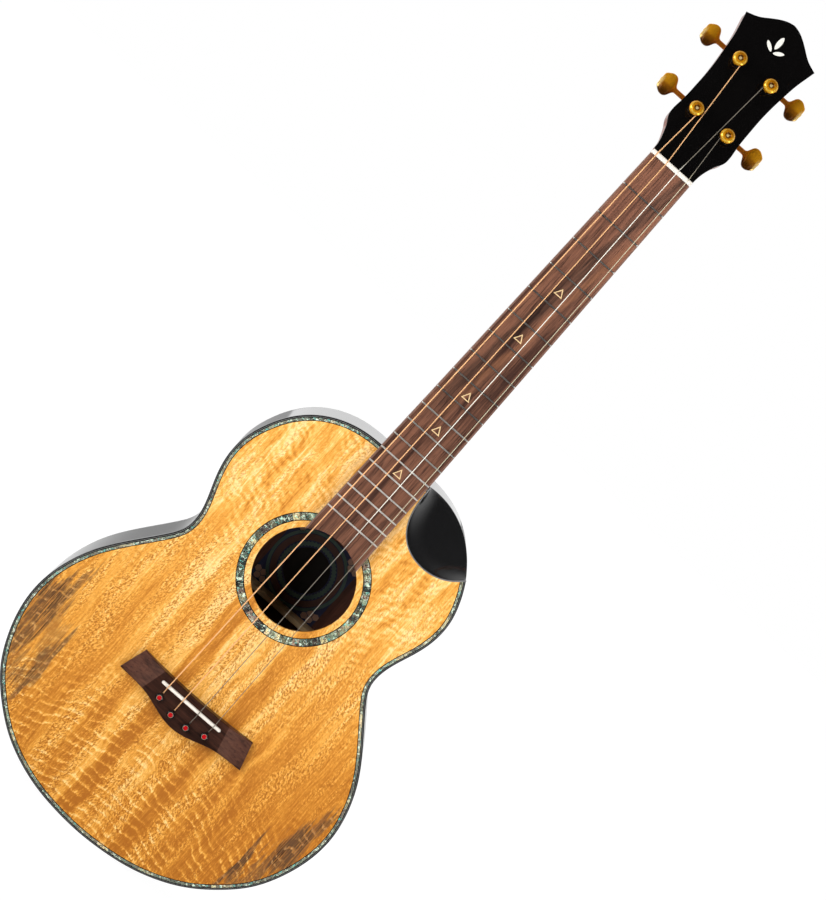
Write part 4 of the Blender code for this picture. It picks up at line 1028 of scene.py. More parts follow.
def lip_section(share):
    """A thin bead's section on the scoop's inner edge."""
    x, z = scoop_point(share)
    ahead = scoop_point(min(1.0, share + 0.003)) - scoop_point(max(0.0, share - 0.003))
    ahead = ahead / np.hypot(*ahead)
    profile = ((0.55, 1.2), (0.55, 0.0), (0.3, -0.06), (-0.25, -0.02), (-0.45, 0.25), (-0.45, 1.2))
    return [(x + ahead[1] * out, y, z - ahead[0] * out) for out, y in profile]


build("shoulder_scoop", loft([scoop_section(share) for share in np.linspace(0.006, 0.994, 120)]),
      SCOOP_BLACK, "black_gloss", smooth=50, replaces="scoop_bevel")
# the lip's grey is a painted highlight on a black bead
build("scoop_lip", loft([lip_section(share) for share in np.linspace(0.004, 0.996, 140)]),
      LIP_PAINTED_HIGHLIGHT, "binding", smooth=50)


def rosette():
    """Shell pieces of random length between the two black rings, with their faces' seeds."""
    pieces, seeds = [], []
    start, joint = 0.0, 0.0008      # joint is half the gap between pieces, in radians
    while start < 2 * pi - 1e-6:
        end = min(start + RNG.uniform(0.035, 0.13), 2 * pi)
        if 2 * pi - end < 0.03:
            end = 2 * pi
        piece = annulus(INNER_LINE[1], OUTER_LINE[0], -0.02, 0.95, 5, z=HOLE_Z,
                        start=start + joint, end=end - joint)
        pieces.append(piece)
        seeds += [RNG.random()] * len(piece[1])
        start = end
    return join(pieces), seeds


shape, seeds = rosette()
build("rosette_shell", shape, SHELL, "shell_inlay", seeds=seeds, replaces="rosette")
for name, radii in (("rosette_outer_line", OUTER_LINE), ("rosette_inner_line", INNER_LINE)):
    build(name, annulus(*radii, -0.03, 0.95, 180, z=HOLE_Z), BLACK_LINE, "binding")

# label on the inside of the back: plain geometric rings, no lettering
LABEL_X, LABEL_Z = 1.4, 244.6
SHEET_BACK = INSIDE_Y - 0.25
SHEET_FACE, INK_FACE = SHEET_BACK - 0.2, SHEET_BACK - 0.3
build("label_sheet", plate([(LABEL_X + x, LABEL_Z + z) for x, z in
                            ((-31, -31), (30.7, -31), (30.7, 31), (-31, 31))],
                           SHEET_FACE, SHEET_BACK), LABEL["blue"], "block_wood", smooth=0)
for word, radii in (("green", (28.6, 31.0)), ("brown", (23.2, 28.0))):
    build("label_ring_" + word, annulus(*radii, INK_FACE, SHEET_FACE, 96, x=LABEL_X, z=LABEL_Z),
          LABEL[word], "block_wood")


def zigzag_ring():
    rings = []
    for k in range(96):
        tooth = 1.1 if k % 2 else 0
        inner, outer = 18.4 + tooth, 22.7 - tooth
        a = 2 * pi * k / 96
        rings.append([(LABEL_X + r * cos(a), y, LABEL_Z + r * sin(a)) for r, y in
                      ((inner, SHEET_FACE), (inner, INK_FACE), (outer, INK_FACE),
                       (outer, SHEET_FACE))])
    return loft(rings, closed=True)


def corner_tiles():
    """Hexagons that fill the label's corners outside its rings."""
    tiles = []
    for i in range(-6, 7):
        for j in range(-6, 7):
            x, z = i * 5.2 + (2.6 if j % 2 else 0.0), j * 4.5
            if hypot(x, z) < 32.4 or abs(x) > 29.2 or abs(z) > 29.2:
                continue
            corners = [(LABEL_X + x + 2.62 * cos(pi / 6 + k * pi / 3) * 1.05,
                        LABEL_Z + z + 2.62 * sin(pi / 6 + k * pi / 3) * 1.05) for k in range(6)]
            tiles.append(plate(corners, INK_FACE, SHEET_FACE))
    return join(tiles)


build("label_ring_zigzag", zigzag_ring(), LABEL["green"], "block_wood", smooth=0)
build("label_centre", lathe([(17.6, SHEET_FACE), (17.6, INK_FACE), (17.2, SHEET_BACK - 0.32)], 72,
                            LABEL_X, LABEL_Z), LABEL["dark"], "block_wood")
build("label_tiles", corner_tiles(), LABEL["tile"], "block_wood", smooth=0)


# =============================================================== fingerboard and frets
def board_half(z):
    """Half the fingerboard's width, which widens from the nut down."""
    return 18.4 + 0.0157 * max(0.0, NUT_Z - z)


def board_strip(low, high):
    """A lengthwise strip between two edges, each (side, inset from the board's edge, ease)."""
    (side0, inset0, ease0), (side1, inset1, ease1) = low, high
    rings = []
    for z in np.linspace(NUT_Z - 0.25, HOLE_Z + 20, 60):
        a, b = side0 * (board_half(z) - inset0), side1 * (board_half(z) - inset1)
        rings.append([(a, -0.05, z), (a, BOARD_Y + ease0, z), (a + ease0, BOARD_Y, z),
                      (b - ease1, BOARD_Y, z), (b, BOARD_Y + ease1, z), (b, -0.05, z)])
    return loft(rings)


STRIP = 1.3         # width of the paler strip down each edge
board_cut = lathe([(HOLE_R + 0.1, -8), (HOLE_R + 0.1, 2)], 160, 0, HOLE_Z)
for name, low, high, look, cad in (
        ("board_face", (-1, STRIP, 0.01), (1, STRIP, 0.01), ROSEWOOD, "fingerboard"),
        ("board_edge_bass", (-1, 0, 0.35), (-1, STRIP, 0.01), BOARD_EDGE, None),
        ("board_edge_treble", (1, STRIP, 0.01), (1, 0, 0.35), BOARD_EDGE, None)):
    build(name, board_strip(low, high), look, "fingerboard_wood", replaces=cad,
          cuts=[board_cut], cut_smooth=25)


def fret_wire(z):
    """A half-round wire whose ends are rounded down."""
    half = board_half(z) - 1.15
    ends = ((0.0, 0.0), (0.12, 0.5), (0.4, 0.86), (0.8, 1.0))    # distance in, share of height
    places = [(-half + far, share) for far, share in ends]
    places += [(q * (half - 0.8), 1.0) for q in (-0.5, 0, 0.5)]
    places += [(half - far, share) for far, share in ends[::-1]]
    rings = []
    for x, share in places:
        width, height = 0.62 * (0.4 + 0.6 * share), 0.85 * max(share, 0.05)
        ring = [(x, BOARD_Y + 0.05, z + width)]
        for j in range(9):
            a = pi * j / 8
            ring.append((x, BOARD_Y - height * sin(a) ** 0.8, z + width * cos(a)))
        rings.append(ring + [(x, BOARD_Y + 0.05, z - width)])
    return loft(rings)


FRETS = range(1, 20)
for k in FRETS:
    # painted light: frets up to 10 take the painted-shade copy, 11 to 13 the half-shaded one, the
    # rest the lit one
    look = FRET_SHADED if k <= 10 else FRET_HALF_SHADED if k <= 13 else FRET
    build("fret_wire_%02d" % k, fret_wire(fret_z(k)), look, "fret_metal", smooth=60,
          replaces="fret_%02d" % k)
# the end caps all take the lit copy, painted highlights on every fret's ends
build("fret_end_caps",
      join([lathe([(0.62, -5.7), (0.62, -5.9), (0.45, -6.05), (0.15, -6.12)], 14,
                  side * (board_half(fret_z(k)) - 0.72), fret_z(k))
            for k in FRETS for side in (-1, 1)]), FRET, "fret_metal")


def triangle_line(tip, base):
    """A triangle's inlaid outline, its tip towards the nut."""
    corners = [(0, tip), (3.65, base), (-3.65, base)]
    middle = (tip + 2 * base) / 3
    rings = []
    for x, z in corners:
        inner_x, inner_z = x * 0.68, middle + (z - middle) * 0.68
        rings.append([(x, -5.70, z), (x, -5.86, z), (inner_x, -5.86, inner_z),
                      (inner_x, -5.70, inner_z)])
    return loft(rings, closed=True)


# distances of the triangles' tip and base below the nut
TRIANGLES = ((113.2917, 119.6315), (156.3302, 162.6862), (211.9890, 218.7237),
             (244.1880, 250.9355), (285.7843, 292.5485))
for k, (tip, base) in enumerate(TRIANGLES):
    build("board_triangle_%d" % (k + 1), triangle_line(NUT_Z - tip, NUT_Z - base), MAPLE,
          "fingerboard_wood", smooth=0)


def side_marker(number):
    """A dot on the board's bass edge, midway between two frets."""
    z = (fret_z(number) + fret_z(number - 1)) / 2
    half = board_half(z)
    return loft([[(x, -3.0 + a, z + b) for a, b in circle(0.9, 16)]
                 for x in (-half + 0.1, -half - 0.04)])


build("side_markers", join([side_marker(number) for number in (5, 7, 10, 12, 15)]), MAPLE,
      "fingerboard_wood")

# ======================================================================= neck and head
# half the head's outline, (x, along): its side from the nut up, then its top to the centre
HEAD_SIDE = [
    (18.6, -0.4), (18.9, 4), (19.8, 9), (21.6, 15), (23.6, 20), (26.6, 25.6), (27.1, 28.6),
    (26.3, 40), (25.8, 54), (25.7, 66), (26.4, 80), (27.8, 94), (29.4, 105), (31.3, 113.5),
    (33.0, 120.9)]
HEAD_TOP = [(33.0, 120.9), (29.2, 122.2), (24.2, 124.3), (17.6, 128.8), (10.6, 133.6),
            (4.6, 136.4), (0, 137.4)]


def sampled(points, count):
    curve, knots = spline(points)
    return curve(np.linspace(0, knots[-1], count))


HEAD_EDGE = np.vstack([sampled(HEAD_SIDE, 90), sampled(HEAD_TOP, 50)[1:]])


def head_loop(shrink, start):
    """The head's whole outline pulled in by a margin, from the given place along it."""
    tangents = unit_tangents(HEAD_EDGE)
    normals = np.stack([tangents[:, 1], -tangents[:, 0]], 1)
    normals[-1] = (0, 1)
    points = HEAD_EDGE - shrink * normals
    points[0] = (points[0][0], start)
    points[-1] = (0, HEAD_EDGE[-1][1] - shrink * 1.1)
    half = [(float(x), float(along)) for x, along in points]
    return half + [(-x, along) for x, along in half[-2::-1]]


def head_layer(layers):
    """A plate on the head from (into, shrink, start) layers."""
    return on_head(loft([[(x, into, along) for x, along in head_loop(shrink, start)]
                         for into, shrink, start in layers]))


post_cuts = [on_head(lathe([(4.0, -6), (4.0, 20)], 40, x, along)) for _, x, along in POSTS]
build("head_face", head_layer([(-0.22, 0.05, -0.3), (-1.75, 0.0, -0.3), (-2.08, 0.12, -0.18),
                               (-2.2, 0.45, 0.1)]),
      HEAD_BLACK, "head_plate", replaces="headstock_plate", smooth=40, cuts=post_cuts)
build("head_veneer_line", head_layer([(0.06, 0.5, -0.4), (-0.24, 0.5, -0.4)]),
      WHITE_LINE, "head_plate", smooth=40, cuts=post_cuts)


def head_core():
    """The head's core: rounded where it leaves the neck, squarer further up."""
    places = [*np.linspace(-0.4, 24, 26), *np.linspace(26, 120.5, 48),
              *(120.5 + 16.85 * np.linspace(0.02, 1, 40))]
    back = 13.1
    rings = []
    for along in places:
        half = float(np.interp(along, HEAD_EDGE[:, 1], HEAD_EDGE[:, 0]))
        half = max(half - 0.55 * min(1.0, max(0.0, along - 2) / 6.0), 0.05)
        r = 1.2 + 10.5 * (1 - min(1.0, max(0.0, (along + 0.4) / 22.0))) ** 1.6
        r = min(r, half * 0.9)
        quarter = [pi / 2 * j / 8 for j in range(9)]
        corner = [(half - r + r * cos(a), back - r + r * sin(a), along) for a in quarter]
        rings.append([(-half, 0.1, along), (half, 0.1, along), *corner,
                      *[(-x, y, along) for x, y, _ in corner[::-1]]])
    return on_head(loft(rings))


# the heel: depth behind the soundboard's face, reach up the neck there, half width there
HEEL = np.array((
    (0.0, 64, 21.8), (6.0, 62, 21.6), (13.5, 50, 20.8), (20, 33, 19.4), (28, 25.5, 17.6),
    (40, 20.5, 15.4), (54, 17.5, 13.4), (66, 16.0, 12.0), (73.5, 15.4, 11.6)))
HEEL_DEPTH, HEEL_REACH, HEEL_HALF = HEEL.T
HEEL_BACK = 73.5


def neck_section(z, steps=26):
    """The shaft's round section blended with the heel's."""
    share = min(1.0, max(0.0, (z - BODY_LENGTH) / (NUT_Z - BODY_LENGTH)))
    shaft_depth = 16.8 - 2.3 * share
    shaft_half = board_half(z)
    front = 0.0 if z <= HEAD_Z else (z - HEAD_Z) * 0.231 + 0.35
    reach = z - (BODY_LENGTH + 0.3)
    heel_depth = float(np.interp(reach, HEEL_REACH[::-1], HEEL_DEPTH[::-1]))
    depth = shaft_depth
    if heel_depth > 0:
        depth = (shaft_depth ** 7.0 + heel_depth ** 7.0) ** (1 / 7.0)
    if heel_depth > 60:
        depth = min(depth, HEEL_BACK)
    flat_back = heel_depth > 60 and reach <= HEEL_REACH.min() * 0.999
    row = []
    for k in range(steps + 1):
        y = depth * sin(pi / 2 * k / steps)
        shaft_y = y * shaft_depth / depth if shaft_depth > heel_depth else y
        q = (shaft_y / shaft_depth) ** (1 / 0.92)
        shaft_x = shaft_half * sqrt(max(0.0, 1 - q * q)) ** 0.86
        heel_x = 0.0
        if heel_depth > 0:
            heel_y = y * heel_depth / depth
            reach_here = float(np.interp(heel_y, HEEL_DEPTH, HEEL_REACH))
            if reach < reach_here:
                q = max(0.0, reach / reach_here) ** 1.25
                half = float(np.interp(heel_y, HEEL_DEPTH, HEEL_HALF)) * 0.97
                heel_x = half * sqrt(max(0.0, 1 - q * q)) ** 0.7
        x = min((shaft_x ** 14 + heel_x ** 14) ** (1 / 14.0), max(shaft_half, 21.9))
        if k == steps and not flat_back:
            x = 0.0
        row.append((x, max(y, front), z))
    return row + [(-x, y, z) for x, y, z in row[-2::-1]]


neck_places = [*(BODY_LENGTH + 0.36 + np.linspace(0, 70, 90)),
               *np.linspace(BODY_LENGTH + 72, HEAD_Z, 60),
               *np.linspace(HEAD_Z + 1, HEAD_Z + 16, 12)]
build("neck_wood", join([loft([neck_section(z) for z in neck_places]), head_core()]), MAHOGANY,
      "neck_wood", smooth=40, replaces="neck", cuts=post_cuts)


def heel_outline():
    points = []
    for k in range(33):
        c, s = cos(pi * k / 32), sin(pi * k / 32)
        points.append((11.2 * copysign(abs(c) ** 0.7, c), BODY_LENGTH + 0.5 + 14.8 * s ** 0.8))
    return points


heel_cap = build("heel_cap", plate(heel_outline(), HEEL_BACK, HEEL_BACK + 1.5), BLACK, "binding",
                 smooth=40)
add_bevel(heel_cap, 0.3, segments=2, angle=32).harden_normals = False


def leaf(length, width, turn, x, along):
    """A leaf of the sprig, let into the head's face."""
    points = []
    for k in range(36):
        a = 2 * pi * k / 36
        u, v = length * cos(a), width * sin(a) * abs(sin(a)) ** 0.35
        points.append((x + u * sin(turn) + v * cos(turn), along + u * cos(turn) - v * sin(turn)))
    mid_x, mid_z = (sum(values) / 36 for values in zip(*points))
    top = [(mid_x + (px - mid_x) * 0.9, -2.26, mid_z + (pz - mid_z) * 0.94) for px, pz in points]
    return loft([[(px, -2.1, pz) for px, pz in points], [(px, -2.23, pz) for px, pz in points], top])


build("head_sprig", on_head(join([leaf(5.6, 1.9, 0.0, 0, 119.5), leaf(4.3, 1.5, 0.95, 4.4, 113.2),
                                  leaf(4.3, 1.5, -0.95, -4.4, 113.2)])),
      WHITE_SHELL, "shell_inlay", smooth=30)

# ================================================================ bridge, saddle, pins
BRIDGE_HEIGHT = 8.2
FRONT_HALF, REAR_HALF = 30.8, 35.8      # half widths of the raised middle
FRONT_WING, REAR_WING = 20.4, 21.7      # widths of the sloping wings


def bridge_section(front_x, rear_x, slope):
    """A section from the bridge's edge towards the neck to its edge towards the tail."""
    height = BRIDGE_HEIGHT - slope * 4.9
    front_z = NUT_Z - (509.1 - 2.1 * min(1.0, abs(front_x) / 51.0) ** 2)
    bulge = cos(pi / 2 * min(1.0, abs(rear_x) / 41.0)) ** 2
    rear_z = NUT_Z - (528.5 + 8.6 * bulge)
    length = front_z - rear_z
    radius = 1.1

    def point(share, y):
        return (front_x + (rear_x - front_x) * share, y, front_z + (rear_z - front_z) * share)

    top = -0.3 - height
    corner = [(radius * (1 - cos(a)) / length, top + radius * (1 - sin(a)))
              for a in (pi / 2 * j / 11 for j in range(12))]
    return [point(0, -0.1), *[point(share, y) for share, y in corner],
            *[point(share, top) for share in (0.25, 0.5, 0.75)],
            *[point(1 - share, y) for share, y in corner[::-1]], point(1, -0.1)]


def bridge_block():
    wing = [(-(FRONT_HALF + slope * FRONT_WING), -(REAR_HALF + slope * REAR_WING), slope)
            for slope in (1.0, 0.75, 0.5, 0.25, 0.0)]
    shares = [-1 + 2 * k / 48.0 for k in range(1, 48)]
    middle = [(q * FRONT_HALF, q * REAR_HALF, 0.0) for q in shares]
    columns = wing + middle + [(-front, -rear, slope) for front, rear, slope in wing[::-1]]
    return loft([bridge_section(*column) for column in columns])


saddle_slot = [(x, SADDLE_Z + dz) for x, dz in (
    (-26.8, -1.25), (26.8, -1.25), (27.5, -1.0), (28.0, 0), (27.5, 1.0), (26.8, 1.25),
    (-26.8, 1.25), (-27.5, 1.0), (-28.0, 0), (-27.5, -1.0))]
build("bridge_wood_block", bridge_block(), BRIDGE_WOOD, "bridge_wood", smooth=28,
      replaces="bridge", cuts=[plate(saddle_slot, -12, -3.6)] + PIN_CUTS, cut_smooth=10.5)


def saddle():
    """A bone bar with rounded ends and a crowned top."""
    rings = []
    for k in range(-30, 31):
        x = 27.75 * sin(pi / 2 * k / 30.0)
        end = max(0.0, (abs(x) - 26.6) / 1.15)
        half = 1.15 * sqrt(max(0.02, 1 - min(1.0, end) ** 2))
        top = -11.6 + 0.9 * (abs(x) / 27.8) ** 2 + 0.9 * (1 - half / 1.15)
        arch = [(x, top + 0.9 * (1 - sin(a)), SADDLE_Z + half * cos(a))
                for a in (pi * j / 8 for j in range(9))]
        rings.append([(x, -3.7, SADDLE_Z - half), (x, -3.7, SADDLE_Z + half)] + arch)
    return loft(rings)


build("saddle_bone", saddle(), BONE, "bone", smooth=50, replaces="saddle")

# profiles are (radius, y)
PIN_SHANK = ((1.2, 15.0), (1.7, 14.6), (1.95, 13.6), (2.25, -6.5), (2.3, -8.75), (2.75, -8.85),
             (3.0, -9.15), (3.05, -9.6), (2.95, -10.2), (2.7, -10.7), (2.35, -10.95),
             (2.15, -11.0), (1.2, -11.0))
PIN_JEWEL = ((1.75, -10.95), (1.72, -11.12), (1.5, -11.4), (1.1, -11.62), (0.6, -11.75),
             (0.05, -11.8))
for number, x, z in PINS:
    pin = "bridge_pin_%d" % number
    build(pin + "_shank", lathe(PIN_SHANK, 40, x, z), PIN_BLACK, "pin_plastic", body=pin,
          smooth=45, replaces=pin)
    build(pin + "_ring", annulus(1.7, 2.1, -11.2, -10.95, 40, x=x, z=z, ease=0.12), PIN_RING,
          "gold_plate", body=pin, smooth=45)
    build(pin + "_jewel", lathe(PIN_JEWEL, 36, x, z), PIN_RED, "pin_plastic", body=pin, smooth=60)


# ============================================================================= strings
def tube(path, radii):
    points = [np.array(p, float) for p in path]
    rings = []
    up = np.array([1.0, 0.0, 0.0])
    for i, point in enumerate(points):
        ahead = points[min(i + 1, len(points) - 1)] - points[max(i - 1, 0)]
        ahead /= np.linalg.norm(ahead)
        up = up - ahead * up.dot(ahead)
        up /= np.linalg.norm(up)
        across = np.cross(ahead, up)
        rings.append([tuple(point + radii[i] * (cos(a) * up + sin(a) * across))
                      for a in (2 * pi * k / 12 for k in range(12))])
    return loft(rings)


# the string's swollen end inside the body: (y, radius)
STRING_END = ((10.4, 0.5), (9.9, 1.1), (9.4, 1.35), (8.7, 1.35), (8.0, 1.1), (7.5, 0.9), (6.9, 0.5))
WRAPS, WRAP_STEPS = 2.25, 64


def string_wire(side, r, pin_x, pin_z, saddle_x, nut_x, post):
    """A string from its end below the pin, over saddle and nut, wrapped on its post."""
    x, over_saddle, over_nut = side * pin_x, side * saddle_x, side * nut_x
    z = pin_z + 4.05
    crown = 11.6 - 0.9 * (abs(over_saddle) / 27.8) ** 2
    path = [(x, y, z) for y, _ in STRING_END]
    path += [(x, -8.3, z), (x, -8.8, z + 0.08), (x, -9.15, z + 0.35),
             (over_saddle, -crown - 0.05 - r, SADDLE_Z - 1.3),
             (over_saddle, -crown - 0.12 - r, SADDLE_Z),
             (over_saddle, -crown - 0.10 - r, SADDLE_Z + 1.3),
             (over_nut, -7.6 - r, NUT_Z - 0.6), (over_nut, -7.66 - r, NUT_Z + 1.0),
             (over_nut, -7.45 - r, NUT_Z + 2.4)]
    wrap_radius = 2.75 + 0.15 + r
    start = pi if side > 0 else 0.0
    for k in range(WRAP_STEPS + 1):
        turns = WRAPS * k / WRAP_STEPS
        a = start - side * (2 * pi * turns)
        path.append(head_point(side * POST_X + wrap_radius * cos(a),
                               -8.35 + (2 * r + 0.12) * turns, post + wrap_radius * sin(a)))
    ends = [radius for _, radius in STRING_END]
    return tube(path, ends + [r] * (len(path) - len(ends)))


for number, *places in STRINGS:
    wound = number > 2
    build("string_wire_%d" % number, string_wire(*places), WOUND_STRING if wound else PLAIN_STRING,
          "string_wound" if wound else "string_plain", smooth=60, replaces="string_%d" % number)

# ===================================================================== tuning machines
TEETH, PITCH_RADIUS = 14, 5.4
TOOTH_PITCH = 2 * pi * PITCH_RADIUS / TEETH


def wheel():
    """The worm wheel on a post's foot, its teeth twisted to the worm's lead."""
    lead = TOOTH_PITCH / (2 * pi * (KNOB_SHIFT - PITCH_RADIUS))
    tooth_angle = 2 * pi / TEETH
    rings = []
    for y in (-1.9, -0.95, 0, 0.95, 1.9):
        ring = []
        for k in range(TEETH):
            centre = pi / 2 + 2 * pi * k / TEETH + lead * y / PITCH_RADIUS
            for part, r in ((-0.26, 4.45), (-0.12, 6.0), (0.12, 6.0), (0.26, 4.45)):
                a = centre + part * tooth_angle
                ring.append((r * cos(a), SHAFT_DEPTH + y, r * sin(a)))
        rings.append(ring)
    return loft(rings)


# distances out from the post's axis: shaft (x, radius), button (x, half width, half thickness)
SHAFT_END = ((-5.4, 1.4), (-4.2, 1.7))
SHAFT = ((4.4, 1.85), (8.0, 1.85), (8.1, 2.3), (9.1, 2.3), (9.3, 1.95), (13.0, 1.95),
         (17.0, 1.95), (18.3, 2.0))
BUTTON = (
    (18.8, 2.15, 2.1), (19.4, 2.6, 2.2), (20.0, 3.5, 2.4), (20.7, 5.0, 2.7), (21.4, 6.5, 3.0),
    (22.3, 7.8, 3.25), (23.3, 8.6, 3.4), (24.6, 9.05, 3.5), (26.2, 9.1, 3.5), (27.5, 8.8, 3.4),
    (28.8, 8.1, 3.15), (30.2, 7.1, 2.7), (31.2, 6.3, 2.3), (31.8, 5.6, 1.9), (32.1, 4.6, 1.4),
    (32.2, 2.2, 0.7))


def knob(side):
    """Worm, shaft and button in one, pointing outwards on the given side."""
    angles = [2 * pi * k / 36 for k in range(36)]

    def round_ring(x, radii):
        return [(side * x, r * sin(a), -r * cos(a)) for a, r in zip(angles, radii)]

    def worm_radius(x, angle):
        fade = min(1.0, min(x + 3.9, 3.9 - x) / 0.8)
        phase = (side * x / TOOTH_PITCH + angle / (2 * pi) + 0.5) % 1.0
        from_ridge = min(phase, 1 - phase)
        return 1.75 + 1.2 * max(0.0, min(1.0, (0.28 - from_ridge) / 0.14)) * fade

    def button_ring(x, half_width, half_thick):
        # each face is two facets that meet in a soft ridge along the knob's axis
        ring = []
        for a in angles:
            c, s = cos(a), sin(a)
            u = abs(c) ** 0.80
            ring.append((side * x, half_thick * (1 - 0.40 * u) * copysign(abs(s) ** 0.50, s),
                         -half_width * copysign(u, c)))
        return ring

    worm_places = [-3.9 + 7.8 * k / 40 for k in range(41)]
    return loft([round_ring(x, [r] * 36) for x, r in SHAFT_END]
                + [round_ring(x, [worm_radius(x, a) for a in angles]) for x in worm_places]
                + [round_ring(x, [r] * 36) for x, r in SHAFT]
                + [button_ring(*row) for row in BUTTON])


def stepped_box(outline, steps):
    """An (x, z) outline lofted through (y, x scale, z scale) steps about z = 2.5."""
    return loft([[(x * scale_x, y, 2.5 + (z - 2.5) * scale_z) for x, z in outline]
                 for y, scale_x, scale_z in steps])


HOUSING_FRONT, HOUSING_BACK = 13.4, 22.2
HOUSING_OUTLINE = ((-4.3, -7.2), (4.3, -7.2), (6.7, -4.8), (6.7, 9.8), (4.3, 12.2), (-4.3, 12.2),
                   (-6.7, 9.8), (-6.7, -4.8))
HOUSING_STEPS = ((HOUSING_FRONT, 1, 1), (HOUSING_BACK - 2.2, 1, 1), (HOUSING_BACK - 1.0, 0.965, 0.97),
                 (HOUSING_BACK - 0.25, 0.88, 0.91), (HOUSING_BACK, 0.76, 0.82))
FLANGE_OUTLINE = ((-7.7, -6.6), (-6.1, -8.2), (6.1, -8.2), (7.7, -6.6), (7.7, 11.6), (6.1, 13.2),
                  (-6.1, 13.2), (-7.7, 11.6))
FLANGE_STEPS = ((13.2, 1, 1), (14.1, 1, 1), (14.4, 0.96, 0.97))
WHEEL_ROOM = 6.35           # radius left free round the worm wheel
SCREWS = ((-6.3, -6.7), (6.3, 11.8))
SCREW = ((1.35, 14.2), (1.35, 14.6), (1.1, 14.95), (0.6, 15.12), (0.05, 15.16))
# the turned post, (radius, y): recessed crown, waist for the string, foot
POST = (
    (0.05, -10.55), (0.7, -10.6), (1.2, -10.8), (1.6, -11.15), (1.95, -11.6), (2.25, -11.85),
    (2.7, -12.0), (3.2, -12.02), (3.8, -11.85), (4.4, -11.5), (4.95, -11.0), (5.35, -10.4),
    (5.55, -9.8), (5.5, -9.35), (5.15, -9.1), (4.4, -9.0), (3.5, -8.95), (2.9, -8.8),
    (2.75, -8.3), (2.7, -5.2), (2.8, -3.6), (3.1, -2.8), (3.2, 0.0), (3.2, 14.0), (2.6, 14.5),
    (2.6, 18.9))
END_SCREW = ((31.6, 1.3), (32.25, 1.3), (32.4, 1.1), (32.45, 0.5))     # x, radius


def block(x0, x1, y0, y1, z0, z1):
    return plate([(x0, z0), (x1, z0), (x1, z1), (x0, z1)], y0, y1)


def tuner(number, post_x, post_along):
    side = 1 if post_x > 0 else -1
    housing, knob_name, post = ("tuner_%d_%s" % (number, part) for part in
                                ("housing", "knob", "post"))

    def placed(shape):
        return on_head(shape, post_x, 0, post_along)

    def at_shaft(shape):
        return on_head(shape, post_x, SHAFT_DEPTH, post_along + KNOB_SHIFT)

    # housing: a rounded box on a thin flange, hollow for the wheel and the worm
    wheel_room = lathe([(WHEEL_ROOM, HOUSING_FRONT - 2), (WHEEL_ROOM, SHAFT_DEPTH + 2.4)], 32)
    worm_room = block(-5.6, 5.6, HOUSING_FRONT - 2, SHAFT_DEPTH + 3.4, 2.0, KNOB_SHIFT + 3.4)
    build(housing + "_shell", placed(stepped_box(HOUSING_OUTLINE, HOUSING_STEPS)), DARK_GOLD,
          "gold_plate", smooth=50, replaces=housing, cuts=[placed(wheel_room), placed(worm_room)])
    build(housing + "_flange", placed(stepped_box(FLANGE_OUTLINE, FLANGE_STEPS)), DARK_GOLD,
          "gold_plate", smooth=30, cuts=[placed(lathe([(WHEEL_ROOM, 12), (WHEEL_ROOM, 16)], 32))])
    build(housing + "_screws", placed(join([lathe(SCREW, 20, x, z) for x, z in SCREWS])), GOLD,
          "gold_plate", smooth=50,
          cuts=[placed(block(x - 1.6, x + 1.6, 14.75, 16, z - 0.18, z + 0.18)) for x, z in SCREWS])
    # painted shade: the gold bushing and sleeve take the head's black, as they lie in the shade under
    # the post's crown
    build(housing + "_bushing", placed(annulus(3.45, 4.7, -2.6, -2.15, 48, ease=0.15)),
          HEAD_BLACK, "gold_plate", smooth=50)
    build(housing + "_sleeve", placed(annulus(3.4, 3.95, -2.4, 6.0, 48)), HEAD_BLACK,
          "gold_plate", smooth=50)
    string_hole = loft([[(a, -7.2 + b, z) for a, b in circle(0.8, 16)] for z in (-6, 6)])
    build(post + "_turned", placed(lathe(POST, 56)), POST_GOLD, "gold_plate", body=post,
          smooth=40, replaces=post, cuts=[placed(string_hole)])
    build(post + "_wheel", placed(wheel()), DARK_GOLD, "gold_plate", body=post, smooth=25)
    build(knob_name + "_button", at_shaft(knob(side)), KNOB_GOLD, "gold_plate", body=knob_name,
          smooth=48, replaces=knob_name)
    screw = loft([[(side * x, b * r, a * r) for a, b in circle(1.0, 20)] for x, r in END_SCREW])
    build(knob_name + "_end_screw", at_shaft(screw), GOLD, "gold_plate", body=knob_name, smooth=50)


for number, post_x, post_along in POSTS:
    tuner(number, post_x, post_along)

# ========================================================== CAD pieces shown as they are
# piece, look, bevel width in mm, slot
CAD_LOOKS = (
    ("neck_block", INNER_MAHOGANY, 0.5, "block_wood"),
    ("tail_block", INNER_MAHOGANY, 0.5, "block_wood"),
    ("x_brace", SPRUCE, 0.6, "brace_wood"),
    ("back_brace", CROSS_SPRUCE, 1.6, "brace_wood"),
    ("bridge_plate", CROSS_SPRUCE, 0.3, "brace_wood"),
    ("truss_rod", STEEL, 0.3, "rod_steel"),
    ("truss_rod_nut", STEEL, 0.25, "rod_steel"))
for name, look, bevel_width, slot in CAD_LOOKS:
    piece = nodes[name]
    piece.data.materials.clear()
    piece.data.materials.append(look)
    piece.modifiers.new("weld", "WELD").merge_threshold = 0.00002
    add_bevel(piece, bevel_width, segments=3, angle=30)

# the nut's section: z above its lower edge, y
NUT_PROFILE = ((0.0, 0.3), (0.0, -7.75), (0.25, -8.15), (0.6, -8.3), (1.0, -8.28), (1.9, -7.95),
               (2.8, -7.3), (3.4, -6.4), (3.6, -5.4), (3.6, 0.3))
# x, and how far the section shrinks there to round the ends
NUT_PLACES = ((-18.3, 0.35), (-18.05, 0.1), (-17.7, 0.0), (-9, 0.0), (0, 0.0), (9, 0.0),
              (17.7, 0.0), (18.05, 0.1), (18.3, 0.35))


